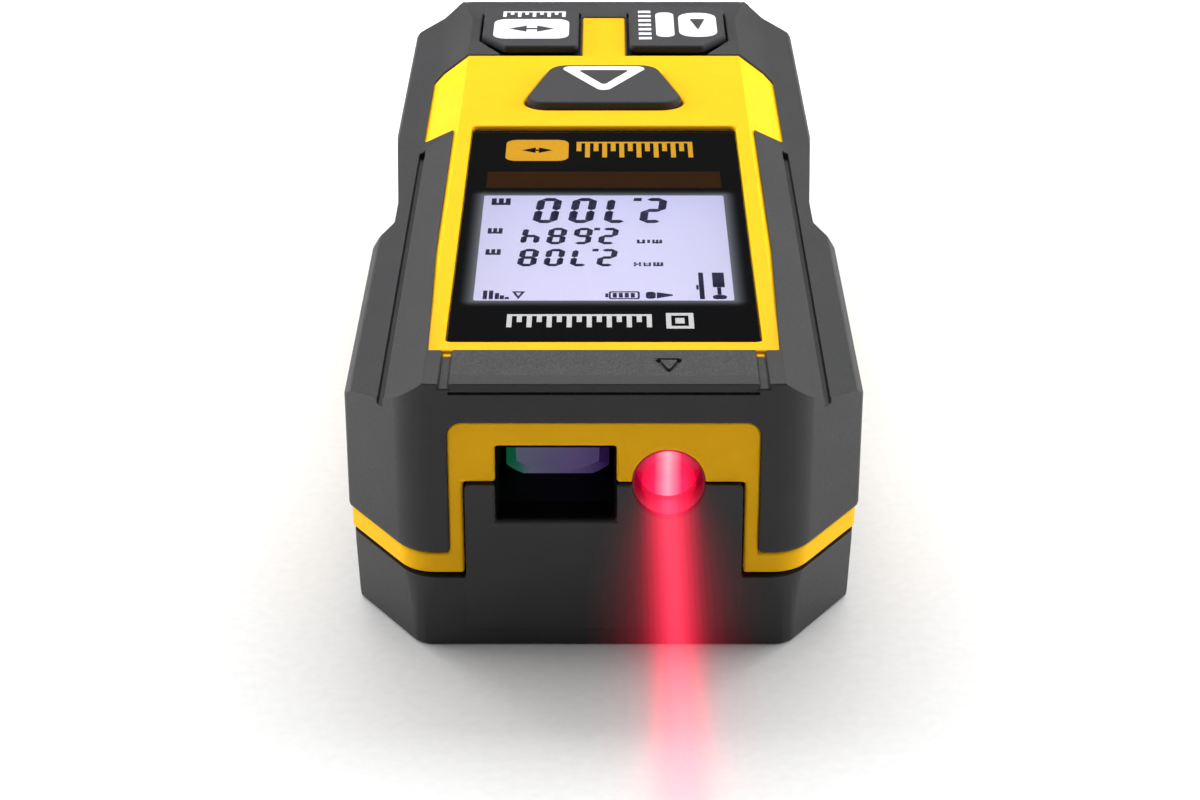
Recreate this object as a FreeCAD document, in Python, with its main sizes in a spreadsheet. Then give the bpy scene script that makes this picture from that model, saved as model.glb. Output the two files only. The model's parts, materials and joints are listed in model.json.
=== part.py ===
import FreeCAD
import Part
import Sketcher
import itertools
import math
import os
import re

# A pocket laser distance meter lying on its back, in millimetres.
# +Z is up out of the display face, -Y is the laser end, +X is to the right seen from the laser end's front.
# The origin is the centre of the footprint, on the surface that the meter rests on.

DIMENSIONS = {
    # outline of the case seen from above
    "half_length": 61.0,
    "half_width": 25.0,
    "nose_half_width": 18.4,
    "nose_taper": 9.7,
    "bumper_end": -14.6,
    "waist_start": -10.9,
    "waist_end": -5.0,
    "waist_half_width": 22.9,
    "hip_start": 19.0,
    "hip_half_width": 24.65,
    "tail_half_width": 17.9,
    "tail_taper": 3.4,
    "nose_round": 4.5,
    "corner_round": 1.5,
    # heights of the case
    "top": 28.0,
    "deck_half_width": 16.8,
    "slope_foot_x": 21.0,
    "slope_foot_z": 24.7,
    "rail_x": 24.3,
    "rail_z": 23.25,
    "tail_slope_start": 49.0,
    "tail_slope_drop": 1.4,
    "parting": 7.55,
    "seal_thickness": 0.35,
    "band_top": 10.1,
    # thicknesses, clearances and how far things are set in from the outline
    "margin": 2.0,
    "armour": 1.4,
    "armour_clearance": 0.2,
    "wall": 1.5,
    "floor_thickness": 2.0,
    "lower_wall": 2.2,
    "lower_step_in": 0.6,
    "band_inset": 0.3,
    "seal_outer": 0.9,
    "seal_inner": 2.1,
    "roof": 25.0,
    # lower shell
    "lower_draft": 2.0,
    "lower_step": 0.5,
    "tongue_half_width": 13.1,
    "tongue_top": 17.5,
    "tongue_soft": 0.5,
    "joint_gap": 0.15,
    # front panel and its two apertures
    "panel_half_width": 14.65,
    "panel_top": 23.9,
    "panel_step": 0.3,
    "panel_soft": 1.4,
    "panel_inner": -58.15,
    "receiver_left": -10.2,
    "receiver_right": 1.2,
    "receiver_low": 13.7,
    "receiver_high": 21.4,
    "laser_x": 6.1,
    "laser_z": 17.55,
    "laser_hole": 3.43,
    "hood_front": -60.4,
    "hood_clearance": 0.03,
    "hood_wall": 0.2,
    "liner_front": -60.55,
    "liner_wall": 0.15,
    # top face
    "deck_step": 0.2,
    "window_fit": 0.05,
    "window_soft": 0.7,
    "gasket_thickness": 0.25,
    "window_half_width": 15.15,
    "window_front": -50.9,
    "window_rear": 9.0,
    "window_top": 27.45,
    "window_bottom": 26.0,
    "view_half_width": 13.9,
    "view_front": -43.6,
    "view_rear": -4.6,
    "bezel_front": -53.2,
    "bezel_front_half": 16.65,
    "bezel_half": 17.3,
    "bezel_spread": -28.0,
    "wing_inner_y": 8.6,
    "wing_outer_y": 12.0,
    "wing_half": 21.0,
    "wing_rear": 34.4,
    "wing_cut": 1.2,
    "stripe_half": 2.75,
    "stripe_rear": 50.2,
    "tab_inner": 14.4,
    "tab_outer": 15.3,
    "tab_front": -53.9,
    "slot_floor": 27.5,
    "rail_slot_x": 20.95,
    "rail_slot_half": 0.35,
    "rail_slot_front": -57.5,
    "rail_slot_floor": 23.9,
    "bar_groove_low": 26.9,
    "bar_groove_high": 27.15,
    "bar_groove_depth": 0.35,
    "mark_rear": -55.3,
    "mark_front": -58.7,
    "mark_half": 1.45,
    "mark_line": 0.3,
    "mark_depth": 0.35,
    # measure button
    "button_front": 14.9,
    "button_rear": 28.9,
    "button_front_half": 9.8,
    "button_rear_half": 6.3,
    "button_top": 28.6,
    "button_round": 2.5,
    "button_bevel": 0.55,
    "button_y": 21.4,
    "key_gap": 0.3,
    "flange_lip": 0.8,
    "flange_top": 25.0,
    "flange_bottom": 24.05,
    "stem_bottom": 22.75,
    "stem_radius": 2.5,
    "stem_clearance": 0.3,
    "symbol_depth": 0.3,
    # rear keys
    "key_in": 3.2,
    "key_mid": 12.3,
    "key_out": 15.3,
    "key_front": 36.1,
    "key_shoulder": 40.4,
    "key_rear": 52.4,
    "key_top": 28.55,
    "key_bottom": 27.55,
    "key_well": 26.9,
    "key_x": 9.0,
    "key_y": 44.5,
    "key_round": 0.8,
    "key_bevel": 0.45,
    "key_flange": 3.6,
    # display stack and keypad electronics
    "board_z": 20.8,
    "board_thickness": 0.8,
    "board_half_width": 18.9,
    "board_front": -46.0,
    "board_rear": 50.0,
    "keypad_screw_x": 17.2,
    "keypad_post": 1.7,
    "keypad_hole": 0.8,
    "lcd_bottom": 24.3,
    "lcd_glass": 0.75,
    "lcd_top": 25.8,
    "lcd_half_width": 13.6,
    "lcd_front": -43.3,
    "lcd_rear": -4.9,
    "lcd_ledge": 2.5,
    "backlight_thickness": 1.3,
    "backlight_rear": -8.2,
    "frame_rim": 1.6,
    "frame_grip": 0.4,
    "frame_fit": 0.05,
    "zebra_half_width": 12.2,
    "zebra_front": -7.5,
    "zebra_rear": -5.3,
    "zebra_fit": 0.1,
    "dome_wall": 0.4,
    "dome_foot": 3.2,
    "dome_head": 2.0,
    "dome_gap": 0.02,
    # optics
    "chassis_front": -57.4,
    "chassis_left": -12.9,
    "chassis_right": 11.8,
    "chassis_low": 11.8,
    "chassis_high": 22.8,
    "chassis_mid": 20.3,
    "chassis_step": -47.8,
    "chassis_rear": -24.0,
    "lens_front": -50.5,
    "lens_rear": -47.5,
    "lens_centre_x": -4.5,
    "lens_centre_z": 17.5,
    "lens_half_width": 5.7,
    "lens_half_height": 4.9,
    "lens_curvature": 18.0,
    "barrel_radius": 4.0,
    "barrel_front": -57.7,
    "barrel_rear": -47.0,
    "barrel_wall": 1.0,
    "collimator_thickness": 1.6,
    "diode_flange": 2.8,
    "diode_cap": 1.8,
    "diode_leg": 0.25,
    "chassis_leg": 1.3,
    "lens_lip": 0.6,
    "chamber_half": 4.6,
    "chassis_wall": 2.0,
    "filter_half": 2.9,
    "filter_thickness": 0.6,
    "sensor_radius": 2.6,
    "sensor_z": 16.0,
    "sensor_half_way": 3.0,
    "sensor_board_right": 2.0,
    "sensor_board_low": 8.0,
    "sensor_board_thickness": 1.0,
    # main board
    "main_z": 4.6,
    "main_thickness": 1.2,
    "main_half_width": 16.0,
    "main_front": -55.0,
    "main_rear": -1.0,
    "main_round": 1.5,
    "main_screw_x": 13.0,
    "main_post": 2.0,
    "main_hole": 0.9,
    "main_thread": 0.8,
    "shield_front": -42.0,
    "shield_rear": -24.0,
    "shield_half_width": 9.0,
    "shield_height": 2.6,
    "shield_wall": 0.3,
    "mcu_front": -18.0,
    "mcu_side": 10.0,
    "mcu_height": 1.4,
    "chip_half_width": 1.6,
    "chip_half_depth": 1.2,
    "chip_height": 1.2,
    "buzzer_radius": 4.5,
    "buzzer_height": 3.6,
    "buzzer_y": -49.0,
    "ribbon_half_width": 6.0,
    "ribbon_thickness": 0.3,
    "ribbon_front": -5.5,
    "ribbon_fold": -1.8,
    "ribbon_rear": 3.0,
    # batteries, two AAA cells side by side
    "cell_radius": 5.2,
    "cell_length": 44.5,
    "cell_nub": 1.9,
    "nub_length": 0.9,
    "cell_x": 5.65,
    "cell_z": 8.05,
    "bay_half_width": 11.7,
    "bay_front": 5.0,
    "bay_rear": 53.3,
    "bay_top": 13.9,
    "bay_wall": 2.0,
    "plate_thickness": 0.4,
    "plate_out": 10.6,
    "plate_in": 1.0,
    "plate_low": 4.0,
    "plate_high": 12.0,
    "spring_length": 3.0,
    "spring_radius": 3.4,
    "spring_wire": 0.3,
    "spring_turns": 3,
    "spring_fit": 0.05,
    # battery door
    "door_half_width": 12.7,
    "door_front": 4.2,
    "door_rear": 54.2,
    "door_low": 0.35,
    "door_thickness": 1.5,
    "door_gap": 0.2,
    "door_pin": 0.5,
    "door_pin_reach": 0.9,
    "pin_fit": 0.05,
    "latch_in": 4.0,
    "latch_out": 4.6,
    "latch_length": 6.0,
    "thumb_half": 3.0,
    "thumb_depth": 0.35,
    "notch_radius": 5.0,
    "notch_depth": 1.2,
    # case screws
    "screw_x": 19.3,
    "screw_front": -44.0,
    "screw_rear": 46.0,
    "screw_radius": 1.0,
    "screw_head": 2.0,
    "head_height": 1.4,
    "screw_length": 11.0,
    "screw_clearance": 0.15,
    "head_clearance": 0.3,
    "boss_radius": 2.5,
    "boss_top": 15.0,
    "thread_top": 13.5,
    "rib_x": 21.2,
    "rib_half_width": 1.4,
    "rib_half_depth": 0.7,
    # lanyard bar
    "lanyard_left": -8.0,
    "lanyard_right": -1.0,
    "lanyard_low": 2.2,
    "lanyard_high": 6.5,
    "lanyard_front": 57.0,
    "lanyard_bar": 0.9,
    "lanyard_y": 59.6,
    "lanyard_grip": 1.2,
    "lanyard_wall": 1.4,
    # blank label plate on the underside
    "label_half_width": 13.0,
    "label_front": -46.0,
    "label_rear": -8.0,
    "label_thickness": 0.25,
    "label_sunk": 0.15,
    "label_fit": 0.1,
}

AXES = {"X": FreeCAD.Vector(1, 0, 0), "Y": FreeCAD.Vector(0, 1, 0), "Z": FreeCAD.Vector(0, 0, 1)}
# a sketch's own x and y axes, and the direction it is extruded in
PLANES = {
    "XY": (FreeCAD.Rotation(), AXES["Z"], "z"),
    "XZ": (FreeCAD.Rotation(AXES["X"], 90), AXES["Y"], "y"),
    "YZ": (FreeCAD.Rotation(FreeCAD.Vector(1, 1, 1), 120), AXES["X"], "x"),
}

SIDES = {"left": -1, "right": 1}
CASE_SCREWS = [(f"{side} * screw_x", y) for side in (-1, 1) for y in ("screw_front", "screw_rear")]
BOARD_SCREWS = [(f"{side} * main_screw_x", y)
                for side in (-1, 1) for y in ("main_front + 6", "main_rear - 4")]
KEYPAD_SCREWS = [(f"{side} * keypad_screw_x", y) for side in (-1, 1) for y in ("-36", "8", "42")]
CHASSIS_LEGS = [(x, y) for x in ("-11.2", "10.4") for y in ("-44", "-26")]
CHIPS = [(-12, -20), (-12, -30), (12, -22), (12, -32), (9, -12), (-9, -12)]
TABS = {"left": ("-tab_outer", "-tab_inner"), "right": ("tab_inner", "tab_outer")}
DIODE_LEGS = ((-1.1, -0.6), (1.1, -0.6), (0, 1.2))

doc = FreeCAD.newDocument("laser_distance_meter")
sheet = doc.addObject("Spreadsheet::Sheet", "Dim")
nodes = []


def fill_sheet():
    for row, (alias, value) in enumerate(DIMENSIONS.items(), start=1):
        sheet.set(f"A{row}", alias)
        sheet.set(f"B{row}", str(value))
        sheet.setAlias(f"B{row}", alias)
    doc.recompute()


def expr(text):
    """An expression in the sheet's aliases, written with bare names."""
    def full(match):
        word = match.group()
        return f"Dim.{word}" if word in DIMENSIONS else word
    return re.sub(r"[A-Za-z_][A-Za-z0-9_]*", full, str(text))


def size(alias):
    return float(sheet.get(alias))


def bind(obj, **properties):
    for name, text in properties.items():
        obj.setExpression(name.replace("__", "."), expr(text))


def at(obj, x="0", y="0", z="0"):
    bind(obj, Placement__Base__x=x, Placement__Base__y=y, Placement__Base__z=z)
    return obj


def node(obj, label):
    """Marks an object as a finished sub-part; its label names its file."""
    obj.Label = label
    nodes.append(obj)
    return obj


# ---- solids ----

def box(name, x, y, z):
    """A block from its low and high limits along each axis."""
    obj = doc.addObject("Part::Box", name)
    bind(obj, Length=f"({x[1]}) - ({x[0]})", Width=f"({y[1]}) - ({y[0]})", Height=f"({z[1]}) - ({z[0]})")
    return at(obj, x[0], y[0], z[0])


def wide_box(name, half_width, y, z):
    """A block that is centred across the case."""
    return box(name, (f"-({half_width})", half_width), y, z)


def cylinder(name, radius, length, axis, x, y, z):
    """A cylinder that starts at x, y, z and runs along +axis."""
    obj = doc.addObject("Part::Cylinder", name)
    bind(obj, Radius=radius, Height=length)
    obj.Placement.Rotation = FreeCAD.Rotation(AXES["Z"], AXES[axis])
    return at(obj, x, y, z)


def column(name, radius, x, y, span):
    """An upright cylinder between two heights."""
    return cylinder(name, radius, f"({span[1]}) - ({span[0]})", "Z", x, y, span[0])


def draw(sketch, points):
    """A closed polygon in a sketch, each corner held by two dimensions from the sketch's origin."""
    count = len(points)
    turns = [2 * math.pi * i / count for i in range(count)]
    rough = [FreeCAD.Vector(20 * math.cos(turn), 20 * math.sin(turn), 0) for turn in turns]
    for i in range(count):
        sketch.addGeometry(Part.LineSegment(rough[i], rough[(i + 1) % count]), False)
    for i in range(count):
        sketch.addConstraint(Sketcher.Constraint("Coincident", i, 2, (i + 1) % count, 1))
    for i, point in enumerate(points):
        for kind, text, start in zip("XY", point, rough[i]):
            index = sketch.addConstraint(Sketcher.Constraint(f"Distance{kind}", -1, 1, i, 1, start))
            sketch.renameConstraint(index, f"{kind.lower()}{i}")
            sketch.setExpression(f"Constraints.{kind.lower()}{i}", expr(text))
    return sketch


def profile(name, plane, points, level="0"):
    sketch = doc.addObject("Sketcher::SketchObject", name)
    rotation, _, letter = PLANES[plane]
    sketch.Placement.Rotation = rotation
    draw(sketch, points)
    sketch.setExpression(f"Placement.Base.{letter}", expr(level))
    return sketch


def set_in(sketch, inset):
    """The sketch moved inwards by the sum of the named dimensions."""
    if not inset:
        return sketch
    offset = doc.addObject("Part::Offset2D", f"{sketch.Name}_offset")
    offset.Source = sketch
    offset.Join = 2
    bind(offset, Value=f"-({' + '.join(inset)})")
    return offset


def extrude(name, sketch, axis, length):
    obj = doc.addObject("Part::Extrusion", name)
    obj.Base = sketch
    obj.DirMode = "Custom"
    obj.Dir = AXES[axis]
    obj.Solid = True
    bind(obj, LengthFwd=length)
    return obj


def prism(name, plane, points, span):
    """A polygon on a plane, extruded over a span of the third axis."""
    axis = {"XY": "Z", "XZ": "Y", "YZ": "X"}[plane]
    outline = profile(f"{name}_outline", plane, points, span[0])
    return extrude(name, outline, axis, f"({span[1]}) - ({span[0]})")


def mirrored(points):
    """A half outline given for x above 0, closed by its mirror image."""
    return points + [(f"-({x})", y) for x, y in reversed(points)]


def cut(name, base, *tools):
    tool = tools[0] if len(tools) == 1 else fuse(f"{name}_tool", *tools)
    obj = doc.addObject("Part::Cut", name)
    obj.Base, obj.Tool = base, tool
    obj.Refine = True
    return obj


def fuse(name, *shapes):
    obj = doc.addObject("Part::MultiFuse", name)
    obj.Shapes = list(shapes)
    obj.Refine = True
    return obj


def common(name, *shapes):
    obj = doc.addObject("Part::MultiCommon", name)
    obj.Shapes = list(shapes)
    obj.Refine = True
    return obj


def group(name, *shapes):
    """Separate solids that share one node."""
    obj = doc.addObject("Part::Compound", name)
    obj.Links = list(shapes)
    return obj


def rounded(name, base, radius, wanted):
    """Rounds the edges of base that wanted(edge) picks, by a radius in millimetres or by radius(edge)."""
    doc.recompute()
    picked = [(i, edge) for i, edge in enumerate(base.Shape.Edges, start=1) if wanted(edge)]
    obj = doc.addObject("Part::Fillet", name)
    obj.Base = base
    widths = [radius(edge) if callable(radius) else radius for _, edge in picked]
    obj.Edges = [(i, width, width) for (i, _), width in zip(picked, widths)]
    return obj


def vertical(edge):
    return edge.Curve.TypeId == "Part::GeomLine" and abs(edge.tangentAt(edge.FirstParameter).z) > 0.999


def across_corner(height):
    """Picks the straight edges that run along y at a height."""
    def wanted(edge):
        return edge.BoundBox.ZMin > height - 0.1 and edge.BoundBox.XLength < 0.1
    return wanted


# ---- outlines that several sub-parts share ----

def plan(narrower="0"):
    """The case's outline seen from above, made narrower by a margin on each side."""
    return mirrored([(f"{x} - ({narrower})", y) for x, y in (
        ("nose_half_width", "-half_length"),
        ("half_width", "-half_length + nose_taper"),
        ("half_width", "bumper_end"),
        ("waist_half_width", "waist_start"),
        ("waist_half_width", "waist_end"),
        ("hip_half_width", "hip_start"),
        ("hip_half_width", "half_length - tail_taper"),
        ("tail_half_width", "half_length"),
    )])


def soft_corners(solid, inset=()):
    """Rounds the upright corners of the case's outline, widest where the nose's front meets its bevels."""
    less = sum(size(alias) for alias in inset)

    def radius(edge):
        at_nose = edge.BoundBox.YMax < -size("half_length") + less + 2
        return max(size("nose_round" if at_nose else "corner_round") - less, 0.2)
    return rounded(f"{solid.Name}_corners", solid, radius, vertical)


def plan_prism(name, inset, span):
    """The case's outline moved inwards and extruded over a span of heights."""
    outline = set_in(profile(f"{name}_outline", "XY", plan(), span[0]), inset)
    return soft_corners(extrude(name, outline, "Z", f"({span[1]}) - ({span[0]})"), inset)


def envelope(name, inset, low):
    """The case's outer surface above a height, moved inwards by an inset."""
    wide, long = "half_width + margin", "half_length + margin"
    rail_fall = "(half_width + margin - rail_x) * 1.2"
    tail_run = "(half_length - tail_slope_start)"
    tail_fall = f"tail_slope_drop * ({tail_run} + margin) / {tail_run}"
    outline = profile(f"{name}_plan", "XY", plan(), low)
    section = profile(f"{name}_section", "XZ", mirrored([
        (wide, "0"),
        (wide, f"rail_z - {rail_fall}"),
        ("rail_x", "rail_z"),
        ("slope_foot_x", "slope_foot_z"),
        ("deck_half_width", "top"),
    ]), f"-({long})")
    side = profile(f"{name}_side", "YZ", [
        (f"-({long})", "0"),
        (long, "0"),
        (long, f"top - {tail_fall}"),
        ("tail_slope_start", "top"),
        (f"-({long})", "top"),
    ], f"-({wide})")
    up = extrude(f"{name}_up", set_in(outline, inset), "Z", f"top + margin - ({low})")
    return common(
        f"{name}_sharp",
        soft_corners(up, inset),
        extrude(f"{name}_along", set_in(section, inset), "Y", f"2 * ({long})"),
        extrude(f"{name}_across", set_in(side, inset), "X", f"2 * ({wide})"),
    )


def deck_outline():
    """The yellow area of the top: bezel round the window, shoulder with two wings, and rear stripe."""
    return mirrored([
        ("bezel_front_half", "bezel_front"),
        ("bezel_half", "bezel_spread"),
        ("bezel_half", "wing_inner_y"),
        ("wing_half", "wing_outer_y"),
        ("wing_half", "wing_rear - wing_cut"),
        ("wing_half - wing_cut", "wing_rear + 0.2"),
        ("deck_half_width", "wing_rear"),
        ("stripe_half", "wing_rear"),
        ("stripe_half", "stripe_rear"),
    ])


def trapezoid(grow):
    """The measure button's outline, wider at the front, with a margin all round."""
    return mirrored([
        (f"button_front_half + {grow}", f"button_front - ({grow})"),
        (f"button_rear_half + {grow}", f"button_rear + {grow}"),
    ])


def on_side(side, corners):
    """An outline drawn for the right, mirrored to the left where side is -1."""
    return [(f"{side} * ({x})", y) for x, y in corners]


def key_outline(side):
    """A rear key's outline."""
    return on_side(side, [
        ("key_in", "key_front"),
        ("key_mid", "key_front"),
        ("key_out", "key_shoulder"),
        ("key_out", "key_rear"),
        ("key_in", "key_rear"),
    ])


def well_outline(side):
    """The recess round a rear key, which runs forward to the yellow shoulder."""
    return on_side(side, [
        ("key_in - key_gap", "wing_rear"),
        ("key_mid + key_gap", "wing_rear"),
        ("key_out + key_gap", "key_shoulder - 2 * key_gap"),
        ("key_out + key_gap", "key_rear + key_gap"),
        ("key_in - key_gap", "key_rear + key_gap"),
    ])


def receiver_opening(name, span, grow="0"):
    """A block along the receiver's line of sight, larger than the aperture by a margin all round."""
    return box(name, (f"receiver_left - ({grow})", f"receiver_right + {grow}"), span,
               (f"receiver_low - ({grow})", f"receiver_high + {grow}"))


def laser_bore(name, radius, span):
    """A cylinder on the laser's axis."""
    return cylinder(name, radius, f"({span[1]}) - ({span[0]})", "Y", "laser_x", span[0], "laser_z")


def front_apertures(name):
    """The receiver's and the laser's openings, from outside the nose to inside the front panel."""
    span = ("-half_length - margin", "panel_inner + 1")
    return receiver_opening(f"{name}_receiver", span), laser_bore(f"{name}_laser", "laser_hole", span)


def bosses(name, radius, span):
    """Four columns on the case screws' axes."""
    return [column(f"{name}_{i}", radius, x, y, span) for i, (x, y) in enumerate(CASE_SCREWS)]


def stem_ways(name):
    """Holes for the rear keys' stems through the roof."""
    return [column(f"{name}_{side_name}", "stem_radius + stem_clearance", f"{side} * key_x", "key_y",
                   ("roof - margin", "top"))
            for side_name, side in SIDES.items()]


def tab_boxes(name, span, height):
    return [box(f"{name}_{side}", x, span, height) for side, x in TABS.items()]


# ---- housing ----

def lower_shell():
    outline = profile("lower_hull_outline", "XY", plan("lower_step"), "parting")
    hull = extrude("lower_hull", outline, "Z", "parting")
    hull.Reversed = True
    bind(hull, TaperAngle="-lower_draft")
    outline = profile("lower_upright_outline", "XY", plan("lower_step"))
    upright = extrude("lower_upright", outline, "Z", "parting")
    hull = common("lower_hull_soft", hull, soft_corners(upright))
    room = plan_prism("lower_room", ("lower_wall", "lower_step_in"), ("floor_thickness", "parting + 1"))
    tongue = wide_box("tongue", "tongue_half_width", ("-half_length", "panel_inner"),
                      ("floor_thickness", "tongue_top"))
    tongue = rounded("tongue_corners", tongue, size("tongue_soft"), across_corner(size("tongue_top")))
    low = "floor_thickness / 2"
    bay = wide_box("bay_block", "bay_half_width + bay_wall", ("bay_front - bay_wall", "bay_rear + bay_wall"),
                   (low, "bay_top + bay_wall"))
    anchor = box("lanyard_block", ("lanyard_left - lanyard_wall", "lanyard_right + lanyard_wall"),
                 ("bay_rear", "half_length - lower_wall"), (low, "parting - 0.1"))
    posts = [column(f"board_post_{i}", "main_post", x, y, (low, "main_z"))
             for i, (x, y) in enumerate(BOARD_SCREWS)]
    solid = fuse("lower_solid", cut("lower_tub", hull, room), tongue, bay, anchor, *posts,
                 *bosses("lower_boss", "boss_radius", (low, "parting - 0.1")))
    openings = (*door_openings(), *lanyard_openings(), label_seat(), *screw_openings(),
                *front_apertures("lower"))
    return node(cut("lower_open", solid, *openings), "lower_shell")


def door_openings():
    """The battery bay, the seat of its door, the door's hinge sockets and a notch for a fingernail."""
    leaf_top = "door_low + door_thickness"
    reach = "door_half_width + door_pin_reach + 0.1"
    return (
        wide_box("bay_room", "bay_half_width", ("bay_front", "bay_rear"), ("-1", "bay_top")),
        wide_box("door_seat", "door_half_width + door_gap", ("door_front - door_gap", "door_rear + door_gap"),
                 ("-1", f"{leaf_top} + 0.15")),
        cylinder("door_sockets", "door_pin + pin_fit", f"2 * ({reach})", "X", f"-({reach})",
                 "door_front + door_thickness / 2", "door_low + door_thickness / 2"),
        column("finger_notch", "notch_radius", "0", "door_rear + 0.6", ("-0.1", "notch_depth")),
    )


def lanyard_openings():
    """A slot through the tail and the hole that its bar is pressed into."""
    middle = "(lanyard_low + lanyard_high) / 2"
    return (
        box("lanyard_slot", ("lanyard_left", "lanyard_right"), ("lanyard_front", "half_length + margin"),
            ("lanyard_low", "lanyard_high")),
        cylinder("lanyard_hole", "lanyard_bar", "lanyard_right - lanyard_left + 2 * lanyard_grip", "X",
                 "lanyard_left - lanyard_grip", "lanyard_y", middle),
    )


def label_seat():
    return wide_box("label_seat", "label_half_width + label_fit",
                    ("label_front - label_fit", "label_rear + label_fit"),
                    ("-1", "label_thickness + label_sunk"))


def screw_openings():
    """Drillings for the board's screws, and ways for the case screws and their heads."""
    drill = [column(f"board_drill_{i}", "main_thread", x, y, ("main_z - 3", "main_z + 1"))
             for i, (x, y) in enumerate(BOARD_SCREWS)]
    return (*drill, *bosses("screw_way", "screw_radius + screw_clearance", ("-1", "parting + 1")),
            *bosses("head_way", "screw_head + head_clearance", ("-1", "floor_thickness")))


def upper_shell():
    low = "parting + seal_thickness"
    core = envelope("core", ("armour",), low)
    band = plan_prism("band", ("band_inset",), (low, "band_top"))
    deck = common("deck", envelope("deck_skin", ("deck_step",), low),
                  prism("deck_area", "XY", deck_outline(), ("roof - 1", "top + 1")))
    tabs = tab_boxes("deck_tab", ("tab_front", "bezel_front + 1"), ("roof", "slot_floor"))
    panel = wide_box("panel", "panel_half_width", ("-half_length + panel_step", "panel_inner"),
                     (low, "panel_top"))
    panel = rounded("panel_corners", panel, size("panel_soft"), across_corner(size("panel_top")))
    room = envelope("upper_room", ("armour", "wall"), "0")
    tub = cut("upper_tub", fuse("upper_outside", core, band, deck, panel, *tabs), room)
    drill = [column(f"keypad_drill_{i}", "0.7", x, y, ("board_z", "board_z + board_thickness + 3"))
             for i, (x, y) in enumerate(KEYPAD_SCREWS)]
    openings = (button_hole(), *window_openings(), tongue_way("tongue_way", "tongue_top + joint_gap"),
                *stem_ways("shell_stem_way"), *drill, *front_apertures("upper"),
                *bosses("screw_thread", "screw_radius", ("0", "thread_top")))
    return node(cut("upper_open", fuse("upper_solid", tub, upper_fittings(low)), *openings), "upper_shell")


def tongue_way(name, high):
    """The room that the lower shell's tongue needs in the parts above it."""
    return wide_box(name, "tongue_half_width + joint_gap", ("-half_length - 1", "panel_inner + 1"),
                    ("0", high))


def upper_fittings(low):
    """Posts for the keypad board, and screw bosses tied to the walls by ribs."""
    posts = [column(f"keypad_post_{i}", "keypad_post", x, y, ("board_z + board_thickness", "top"))
             for i, (x, y) in enumerate(KEYPAD_SCREWS)]
    ribs = [box(f"boss_rib_{i}", (f"{side} * rib_x - rib_half_width", f"{side} * rib_x + rib_half_width"),
                (f"{y} - rib_half_depth", f"{y} + rib_half_depth"), (low, "boss_top"))
            for i, (side, y) in enumerate(itertools.product(SIDES.values(), ("screw_front", "screw_rear")))]
    fittings = fuse("upper_fittings", *posts, *bosses("upper_boss", "boss_radius", (low, "boss_top")), *ribs)
    return common("upper_inside", envelope("core_again", ("armour", "armour_clearance"), low), fittings)


def button_hole():
    hole = prism("button_hole", "XY", trapezoid("key_gap"), ("roof - 3", "top + 1"))
    return rounded("button_hole_corners", hole, size("button_round") + size("key_gap"), vertical)


def window_openings():
    """The window's seat and the view hole below it."""
    seat = wide_box("window_seat", "window_half_width + window_fit",
                    ("window_front - window_fit", "window_rear + window_fit"),
                    ("window_bottom - gasket_thickness", "top + 1"))
    seat = rounded("window_seat_corners", seat, size("window_soft") + size("window_fit"), vertical)
    view = wide_box("view_hole", "view_half_width", ("view_front", "view_rear"), ("roof - 3", "top + 1"))
    return seat, view


def rubber_armour():
    skin = envelope("armour_skin", (), "band_top")
    core = envelope("armour_core", ("armour",), "band_top - 1")
    deck = prism("armour_deck", "XY", deck_outline(), ("roof - 1", "top + 1"))
    opening = wide_box("armour_front", "panel_half_width", ("-half_length - 1", "panel_inner"),
                       ("band_top - 2", "panel_top"))
    opening = rounded("armour_front_corners", opening, size("panel_soft"), across_corner(size("panel_top")))
    grooves = tab_boxes("tab_slot", ("-half_length - 1", "bezel_front + 1"), ("slot_floor", "top + 1"))
    grooves += tab_boxes("tab_root", ("tab_front", "bezel_front + 1"), ("roof", "top + 1"))
    grooves += [box(f"rail_slot_{name}", (f"{side} * rail_slot_x - rail_slot_half",
                                          f"{side} * rail_slot_x + rail_slot_half"),
                    ("rail_slot_front", "wing_inner_y"), ("rail_slot_floor", "top"))
                for name, side in SIDES.items()]
    grooves.append(wide_box("bar_groove", "tab_inner", ("-half_length - 1", "bar_groove_depth - half_length"),
                            ("bar_groove_low", "bar_groove_high")))
    wells = [prism(f"{name}_well", "XY", well_outline(side), ("key_well", "top + 1"))
             for name, side in SIDES.items()]
    return node(cut("armour_open", skin, core, deck, opening, *grooves, laser_mark(), *wells,
                    *stem_ways("armour_stem_way")), "rubber_armour")


def laser_mark():
    """An engraved triangle above the laser that points out of the nose."""
    level = ("top - mark_depth", "top + 1")
    outer = prism("mark_outer", "XY", [
        ("laser_x - mark_half", "mark_rear"),
        ("laser_x", "mark_front"),
        ("laser_x + mark_half", "mark_rear"),
    ], level)
    inner = prism("mark_inner", "XY", [
        ("laser_x - mark_half + 2 * mark_line", "mark_rear - mark_line"),
        ("laser_x", "mark_front + 3 * mark_line"),
        ("laser_x + mark_half - 2 * mark_line", "mark_rear - mark_line"),
    ], level)
    return cut("mark", outer, inner)


def parting_seal():
    span = ("parting", "parting + seal_thickness")
    ring = cut("seal_ring", plan_prism("seal_outside", ("seal_outer",), span),
               plan_prism("seal_inside", ("seal_inner",), span))
    return node(cut("seal", ring, tongue_way("seal_gap", "top")), "parting_seal")


def display_window():
    pane = wide_box("pane", "window_half_width", ("window_front", "window_rear"),
                    ("window_bottom", "window_top"))
    return node(rounded("pane_corners", pane, size("window_soft"), vertical), "display_window")


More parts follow.
